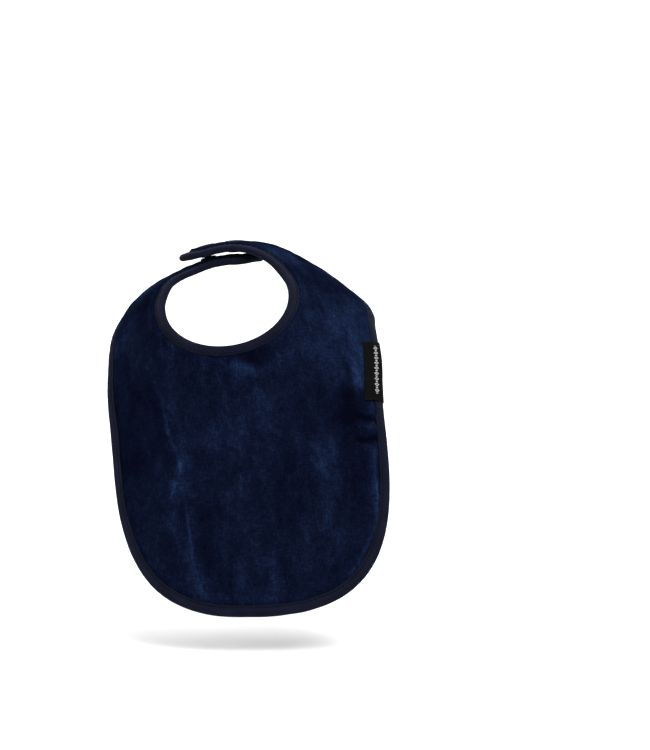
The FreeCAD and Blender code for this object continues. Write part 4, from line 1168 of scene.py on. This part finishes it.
def stitches(name, path, sign, depth, height, seed, pitch=2.9, length=2.35, radius=0.19):
    """A row of lockstitch bars as one object of small closed solids."""
    run = run_along(middle(path[:, 0], path[:, 1]))
    count = int(run[-1] / pitch)
    rng = np.random.RandomState(seed)
    centre = (np.arange(count) + 0.5) * run[-1] / count + rng.uniform(-0.06, 0.06, count)
    place, share, rise = STITCH_STATIONS.T
    bar_radius = (radius * share)[None, :, None]
    at = centre[:, None] + 0.5 * length * place
    stations = np.stack([np.interp(at, run, path[:, k]) for k in range(4)], -1)
    jitter = rng.uniform(-0.07, 0.07, count)[:, None, None]
    sides = 8
    angle = 2 * np.pi * (np.arange(sides) + 0.5) / sides
    depths = depth + jitter + bar_radius * np.cos(angle)
    offset = height + np.sign(height) * (rise[None, :, None] + bar_radius * np.sin(angle))
    points = cloth_point(*inset(stations, sign, depths), offset)
    size = len(place) * sides
    points = points.reshape(count, size, 3)
    last = size - sides
    caps = []
    for j in range(1, sides // 2):
        caps.append([j - 1, sides - j, sides - j - 1, j])
        caps.append([last + j, last + sides - j - 1, last + sides - j, last + j - 1])
    quads = np.concatenate([tube_quads(len(place), sides), caps])
    # winding from the first bar
    bar = points[0]
    corner, second, third = bar[quads[sides][:3]]
    if np.dot(np.cross(second - corner, third - corner), corner - bar.mean(0)) < 0:
        quads = quads[:, ::-1]
    quads = (quads[None] + (np.arange(count) * size)[:, None, None]).reshape(-1, 4)
    uv = np.stack(np.broadcast_arrays(at[..., None] * MM, angle * radius * MM), -1)
    ob = build(name, points.reshape(-1, 3), quads, uv=uv.reshape(-1, 2))
    return dress(ob, "thread")


SEAM = 5.1                          # distance of the seam inside the edge
seed = 40
for part, (path, sign) in tapes.items():
    for face, height in (("needle", 2.03), ("bobbin", -2.03)):
        seed += 1
        ob = stitches(f"{part}_{face}_stitches", path, sign, SEAM, height, seed)
        attach(ob, f"{part}_{face}_thread", part)

# =====================================================================
# Folded side label
# =====================================================================
# half section from the leg's end to the fold: (distance inside the edge, offset), mm
LABEL_SECTION = [
    (LABEL_LEG, 1.98), (13.7, 2.00), (13.2, 1.94), (12.9, 1.92), (12.5, 1.97), (11.8, 2.04),
    (10.8, 2.12), (9.8, 2.28), (8.8, 2.50), (7.8, 2.72), (7.0, 2.84), (6.1, 2.82), (5.1, 2.78),
    (4.0, 2.84), (2.8, 2.90), (1.8, 2.84), (1.0, 2.62), (0.35, 2.22), (-0.12, 1.60),
    (-0.40, 0.85), (-0.46, 0.0)]
LABEL_THICKNESS = 0.34
LABEL_ROWS = 61
LABEL_SEAM = 12.9


def leaning(depth, count, trim=0.0):
    """Edge path for the label's line at a depth inside the edge."""
    psi = np.linspace(LABEL_START + trim, LABEL_END - trim, count)
    psi = psi - label_shift(psi, max(depth, 0.0))
    return np.stack([width(psi), psi, width_slope(psi), np.ones(count)], -1)


label_sign = inward_sign(leaning(0.0, 41))


def label_surface(section):
    """Points of the label: one line along it for every (depth, offset) of its section."""
    x = np.linspace(0, 1, LABEL_ROWS)[:, None]
    lines = []
    for depth, offset in section:
        # the legs' free ends stand off a little
        leg = np.clip((depth - 8.0) / 5.0, 0.0, 1.0)
        rise = leg * (0.14 * np.abs(2 * x - 1) ** 8 + 0.05 * (1 + np.sin(x * 15.0)))
        place = inset(leaning(depth, LABEL_ROWS), label_sign, depth)
        lines.append(cloth_point(*place, offset + np.sign(offset) * rise))
    return np.concatenate(lines, 1)


def label_mesh():
    back = [(depth, -offset - 0.02 * (depth > 7)) for depth, offset in LABEL_SECTION[:-1]]
    chain = np.array(LABEL_SECTION + back[::-1])
    along = unit(np.gradient(chain, axis=0))
    outward = np.stack([along[:, 1], -along[:, 0]], -1)
    if outward[4, 1] < 0:
        outward = -outward
    half = outward * LABEL_THICKNESS * 0.5
    run = run_along(chain)
    across = np.abs(run - run[len(LABEL_SECTION) - 1]) * 0.01
    uv = np.stack(np.broadcast_arrays(np.linspace(0, 1, LABEL_ROWS)[:, None], across[None]), -1)
    ob = shell("side_label_woven", label_surface(chain + half), label_surface(chain - half), uv,
               sharp=45)
    return dress(ob, "label")


attach(label_mesh(), "side_label")
attach(stitches("side_label_stitches", leaning(LABEL_SEAM, LABEL_ROWS, trim=rad(1.0)), label_sign,
                LABEL_SEAM, 2.20, seed=77, pitch=2.5, length=2.0, radius=0.16),
       "side_label_thread")


# =====================================================================
# Care label on the back, in metres
# =====================================================================
CARE_PLY = 0.00016


def care_mesh():
    """A flattened loop of tape hanging from its hinge, with a stub that runs under the binding."""
    source = frame["nodes"]["care_label"].data
    corners = np.array([vertex.co for vertex in source.vertices])
    out = unit(np.array(max(source.polygons, key=lambda face: face.area).normal))
    hinge, wide = joint_frame("care_label_flip")
    centre = (corners.min(0) + corners.max(0)) / 2
    run = centre - hinge
    run -= wide * (run @ wide)
    run -= out * (run @ out)
    run = unit(run)
    length = ((corners - hinge) @ run).max()
    side = (corners - hinge) @ wide
    left, right = side.min(), side.max()
    deep = (corners - hinge) @ out
    mid_depth = 0.5 * (deep.min() + deep.max())
    bow_sign = 1.0 if (hinge - centre) @ out > 0 else -1.0

    back = layer(low).reshape(-1, 3)
    near_hinge = np.nonzero(np.linalg.norm(back - hinge, axis=1) < 0.07)[0]
    tree = tree_of(back[near_hinge])

    def cloth(points):
        """Height over the cloth's back face, its normal and its distance from the edge (mm)."""
        listed = points.reshape(-1, 3)
        nearest = near_hinge[[tree.find(point)[1] for point in listed]]
        normals = base_normal.reshape(-1, 3)[nearest]
        height = ((listed - back[nearest]) * normals).sum(1)
        shape = points.shape[:-1]
        return (height.reshape(shape), normals.reshape(points.shape),
                edge.reshape(-1)[nearest].reshape(shape))

    v = np.linspace(0, 1, 29)
    y = left + (right - left) * (0.004 + 0.992 * v)
    # how far the sewn end has to go at each side to run under the binding
    behind = np.arange(0, 0.0165, 0.0005)
    covered = cloth(hinge - run * behind[:, None, None] + wide * y[None, :, None])[2] < 3.2
    hit = np.where(covered.any(0), behind[np.argmax(covered, 0)], behind[-1])
    stub = np.polyval(np.polyfit(v, hit, 1), v)
    x = np.concatenate([np.linspace(-1, 0, 19)[:-1, None] * stub,
                        np.linspace(0, 1, 49)[:, None] * length + 0 * v])
    y = np.broadcast_to(y, x.shape)
    u = np.clip(x / length, 0, 1)
    bow = 0.0011 * np.sin(u * np.pi * 0.9) * (0.6 + 0.4 * np.cos((v - 0.5) * 3.0))
    bow = bow + 0.0003 * (np.sin(u * 9.0 + v * 3.0) - np.sin(v * 3.0))
    gap = 0.00010 + 0.0006 * smooth(u / 0.35) * np.sqrt(np.clip(1 - ((u - 0.02) / 0.98) ** 8, 0, 1))
    mid = (hinge + run * x[..., None] + wide * y[..., None]
           + out * (mid_depth + bow_sign * bow)[..., None])
    # keep clear of the cloth, and close to it along the stub
    height, normals, _ = cloth(mid)
    away = -height
    clear, soft = 0.00050, 0.0004
    lifted = 0.5 * (away + clear + np.sqrt((away - clear) ** 2 + soft ** 2))
    lifted = np.where(x < 0, lifted + (0.00026 - lifted) * smooth(-x / 0.005), lifted)
    shift = away - lifted
    for _ in range(3):              # even out the step from point to point
        ext = np.pad(shift, 1, mode="edge")
        shift = (ext[1:-1, 1:-1] * 2 + ext[:-2, 1:-1] + ext[2:, 1:-1]
                 + ext[1:-1, :-2] + ext[1:-1, 2:]) / 6.0
    mid = mid + normals * shift[..., None]
    turn = np.sign((normals * out).sum(-1).mean())
    hanging = smooth((x + 0.006) / 0.006)[..., None]
    face = unit(out * hanging + normals * turn * (1 - hanging))

    def both_plies(half):
        step = face * half[..., None]
        return np.concatenate([mid + step, (mid - step)[::-1]])

    uv = np.stack([x, y - left], -1)
    uv = np.concatenate([uv, uv[::-1] + np.array([length, 0])])
    ob = shell("care_label_loop", both_plies(gap * 0.5 + CARE_PLY), both_plies(gap * 0.5), uv,
               sharp=50)
    return dress(ob, "care"), hinge, run


care, hinge, run = care_mesh()
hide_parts("care_label")
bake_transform(care)


# =====================================================================
# Press studs: turned pieces on the CAD pieces' own places
# =====================================================================
# Profiles are (radius, height along the axis), mm
CAP_DOME = 1.05
CAP_PROFILE = [
    (1.0, -0.02), (5.7, 0.0), (6.1, 0.12), (6.2, 0.32), (6.08, 0.52), (5.7, 0.70), (5.2, 0.74),
    (5.0, 0.70), (4.8, 0.73), (4.2, 0.86), (3.2, 0.97), (2.0, 1.03), (1.0, 1.045),
    (0.0, CAP_DOME)]
SOCKET_PROFILE = [
    (1.25, 0.0), (5.7, 0.0), (6.0, -0.2), (6.0, -0.85), (5.8, -1.1), (5.2, -1.22), (4.6, -1.26),
    (4.45, -1.6), (4.38, -2.5), (4.2, -2.85), (3.9, -3.0), (3.1, -3.0), (2.85, -2.85),
    (2.72, -2.6), (2.72, -1.9), (2.85, -1.5), (2.75, -1.02), (1.25, -1.0)]
STUD_PROFILE = [
    (0, 2.2), (1.25, 2.2), (1.25, 0.0), (5.05, 0.0), (5.35, 0.2), (5.35, 0.8), (5.1, 1.08),
    (4.6, 1.2), (2.9, 1.22), (2.4, 1.35), (2.22, 1.6), (2.25, 1.85), (2.46, 2.15), (2.5, 2.4),
    (2.4, 2.7), (2.1, 2.95), (1.7, 3.0), (0.0, 3.0)]
SEGMENTS = 72


def cap_profile(prong):
    """A domed cap with a prong of that length below it."""
    return [(0, -prong), (0.6, -prong), (1.0, -prong + 0.7)] + CAP_PROFILE


def lathe(name, profile, origin, axis, kind, shape=None):
    """Turned solid: closed at the axis if its profile ends there, else a ring."""
    profile = np.array(profile, float)
    for _ in range(2):              # cut the corners, keeping the ends
        start, end = profile[:-1], profile[1:]
        cut = np.empty((2 * len(start), 2))
        cut[0::2], cut[1::2] = start * 0.8 + end * 0.2, start * 0.2 + end * 0.8
        profile = np.concatenate([profile[:1], cut[1:-1], profile[-1:]])
    axis = unit(axis)
    x = unit(np.cross([0, 0, 1.0] if abs(axis[2]) < 0.9 else [1.0, 0, 0], axis))
    y = np.cross(axis, x)
    closed = profile[0, 0] < 1e-6 and profile[-1, 0] < 1e-6
    angle = 2 * np.pi * np.arange(SEGMENTS)[None] / SEGMENTS
    body = profile[1:-1] if closed else profile
    radius, height = (np.repeat(column[:, None], SEGMENTS, axis=1) for column in body.T)
    if shape is not None:
        radius, height = shape(radius, height, angle)
    points = (origin + x * (radius * np.cos(angle))[..., None]
              + y * (radius * np.sin(angle))[..., None] + axis * height[..., None]) * MM
    points = points.reshape(-1, 3)
    rings = len(body)
    quads = tube_quads(rings, SEGMENTS, closed=not closed)
    tris = []
    if closed:
        first, last = len(points), (rings - 1) * SEGMENTS
        points = np.concatenate([points, [(origin + axis * profile[k, 1]) * MM for k in (0, -1)]])
        for j in range(SEGMENTS):
            k = (j + 1) % SEGMENTS
            tris.append([first, k, j])
            tris.append([first + 1, last + j, last + k])
    tris = np.array(tris, int).reshape(-1, 3)
    # outward winding by signed volume
    corners = (points - points.mean(0))[np.concatenate([quads[:, :3], quads[:, [0, 2, 3]], tris])]
    if (corners[:, 0] * np.cross(corners[:, 1], corners[:, 2])).sum() < 0:
        quads, tris = quads[:, ::-1], tris[:, ::-1]
    ob = build(name, points, quads, tris, uv=points[:, :2], sharp=38)
    return dress(ob, kind)


def slots(radius, height, angle):
    """Four relief cuts in a socket's ring, as shallow grooves."""
    cut = np.exp(-((np.mod(angle * 4 / (2 * np.pi), 1.0) - 0.5) / 0.035) ** 2)
    cut = cut * smooth((-height - 1.4) / 0.3) * (radius > 2.0)
    return radius - 0.32 * cut * (radius > 3.2), height + 0.35 * cut * (height < -2.6)


def stud_axis(psi):
    """Place and axis of a stud's centre line."""
    at = np.array(0.5 * float(width(psi))), np.array(psi)
    return middle(*at), normal(*at)


def seat_of(node, origin, axis):
    """Lowest and highest places of a CAD node along an axis, mm from origin."""
    points = np.array([vertex.co for vertex in frame["nodes"][node].data.vertices]) * 1000.0
    along = (points - origin) @ axis
    return along.min(), along.max()


def place_stud(ob, node, tab):
    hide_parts(node)
    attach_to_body(ob, tab)


for name, stud_psi in (("tip", STUD_PSI), ("spare", SPARE_PSI)):
    origin, axis = stud_axis(stud_psi)
    lowest, highest = seat_of("socket_cap_" + name, origin, axis)
    seat = highest - CAP_DOME
    ob = lathe("press_cap_" + name, cap_profile(seat - lowest), origin + axis * seat, axis,
               "cap")
    place_stud(ob, "socket_cap_" + name, "right_tab")
    _, highest = seat_of("socket_" + name, origin, axis)
    ob = lathe("press_socket_" + name, SOCKET_PROFILE, origin + axis * highest, axis,
               "stud", shape=slots)
    place_stud(ob, "socket_" + name, "right_tab")

origin, axis = stud_axis(STUD_PSI)
lowest, _ = seat_of("stud", origin, axis)
ob = lathe("press_stud", STUD_PROFILE, origin + axis * lowest, axis, "stud")
place_stud(ob, "stud", "left_tab")
lowest, highest = seat_of("stud_cap", origin, axis)
seat = lowest + CAP_DOME
ob = lathe("press_cap_stud", cap_profile(highest - seat), origin + axis * seat, -axis,
           "cap")
place_stud(ob, "stud_cap", "left_tab")

# the stay patches stay as CAD pieces, inside the tabs
for node in ("right_tab_stay_patch", "left_tab_stay_patch"):
    patch = frame["nodes"][node].data
    patch.materials.clear()
    patch.materials.append(MATERIALS["stay"])

# =====================================================================
# Shoulder pieces, baked in place
# =====================================================================
for tab, side in (("right_tab", 1), ("left_tab", -1)):
    hinge, axis = joint_frame(tab + "_open")
    along = around(0.5 * float(width(side * FOLD)), side * FOLD) * side
    along = unit(along - axis * (along @ axis))
    for ob in SHOULDERS[tab]:
        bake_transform(ob)

# =====================================================================
# Stage, light and camera, in metres
# =====================================================================
FLOOR_DROP = 0.022                  # floor below the lowest point of the bib
FLOOR_HALF, FLOOR_BACK = 4.4, 2.5   # half width, and where the floor starts to curve up
CURVE_RADIUS, WALL_TOP = 1.0, 4.0


def stage_mesh():
    """Floor that curves up into a wall behind the bib."""
    floor_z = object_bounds()[0].z - FLOOR_DROP
    profile = [(-FLOOR_HALF, floor_z), (FLOOR_BACK, floor_z)]
    for k in range(1, 12):
        turn = k / 12 * np.pi / 2
        profile.append((FLOOR_BACK + CURVE_RADIUS * np.sin(turn),
                        floor_z + CURVE_RADIUS - CURVE_RADIUS * np.cos(turn)))
    wall_y = FLOOR_BACK + CURVE_RADIUS
    profile += [(wall_y, floor_z + CURVE_RADIUS), (wall_y, floor_z + WALL_TOP)]
    across = np.linspace(-FLOOR_HALF, FLOOR_HALF, 9)
    points = np.array([(x, y, z) for y, z in profile for x in across])
    return build("studio_sweep", points, grid_quads(len(profile), len(across)), uv=points[:, :2])


def paper_material():
    """White paper that glows more the farther it lies from the bib."""
    m = Shader("studio_paper")
    paper = m.noise(m.coord("Object"), 40, detail=4)
    spot = m.xyz(m.coord("Object"))
    away = m.calc("SQRT", m.add(m.mul(spot[0], spot[0]), m.mul(spot[1], spot[1])))
    m.surface(Base_Color=m.mix(paper, (0.86, 0.86, 0.86), (0.90, 0.90, 0.90)), Roughness=0.9,
              Emission_Color=(1, 1, 1, 1),
              Emission_Strength=m.remap(away, 0.55, 1.7, to_high=0.52, kind="SMOOTHSTEP"))
    return m.material


floor = stage_mesh()
floor.data.materials.append(paper_material())

AMBIENT, SEEN_EXTRA = 0.62, 0.45    # strength of the world, and what the camera sees on top
scene = bpy.context.scene
world = bpy.data.worlds.new("studio")
scene.world = world
world.use_nodes = True
background = world.node_tree.nodes["Background"]
background.inputs[0].default_value = (1.0, 1.0, 1.0, 1.0)
background.inputs[1].default_value = AMBIENT
light_path = world.node_tree.nodes.new("ShaderNodeLightPath")
strength = world.node_tree.nodes.new("ShaderNodeMath")
strength.operation = "MULTIPLY_ADD"
world.node_tree.links.new(light_path.outputs["Is Camera Ray"], strength.inputs[0])
strength.inputs[1].default_value = SEEN_EXTRA
strength.inputs[2].default_value = AMBIENT
world.node_tree.links.new(strength.outputs[0], background.inputs[1])

BIB = (0.0, -0.05, -0.06)
WHITE = (1, 1, 1)
# (name, place, target, size, power in watts, colour)
LIGHTS = [
    ("key", (0.75, -1.25, 1.25), BIB, 1.0, 26, (1.0, 0.985, 0.96)),
    ("fill", (-1.35, -1.1, 0.35), BIB, 1.1, 9, (0.96, 0.98, 1.0)),
    ("top", (0.1, 0.15, 1.5), BIB, 0.9, 14, WHITE),
    ("rim", (0.9, 1.0, 0.7), BIB, 0.8, 8, WHITE),
    ("backdrop", (0.0, 0.6, 1.9), (0.0, 2.6, 0.0), 2.0, 26, WHITE),
]
for name, place, target, size, power, colour in LIGHTS:
    light = bpy.data.lights.new(name, "AREA")
    light.energy = power
    light.color = colour
    light.size = size
    ob = bpy.data.objects.new(name, light)
    ob.location = place
    ob.rotation_mode = "QUATERNION"
    ob.rotation_quaternion = (Vector(target) - Vector(place)).to_track_quat("-Z", "Y")
    scene.collection.objects.link(ob)

lens = bpy.data.cameras.new("camera")
lens.sensor_width = 36.0
lens.lens = 134.784
lens.clip_end = 50
camera = bpy.data.objects.new("camera", lens)
camera.location = tuple(level(EYE) * MM)
camera.rotation_euler = (rad(90.0) - PITCH, 0, 0)
scene.collection.objects.link(camera)
scene.camera = camera
scene.view_settings.view_transform = "Standard"
scene.view_settings.look = "None"
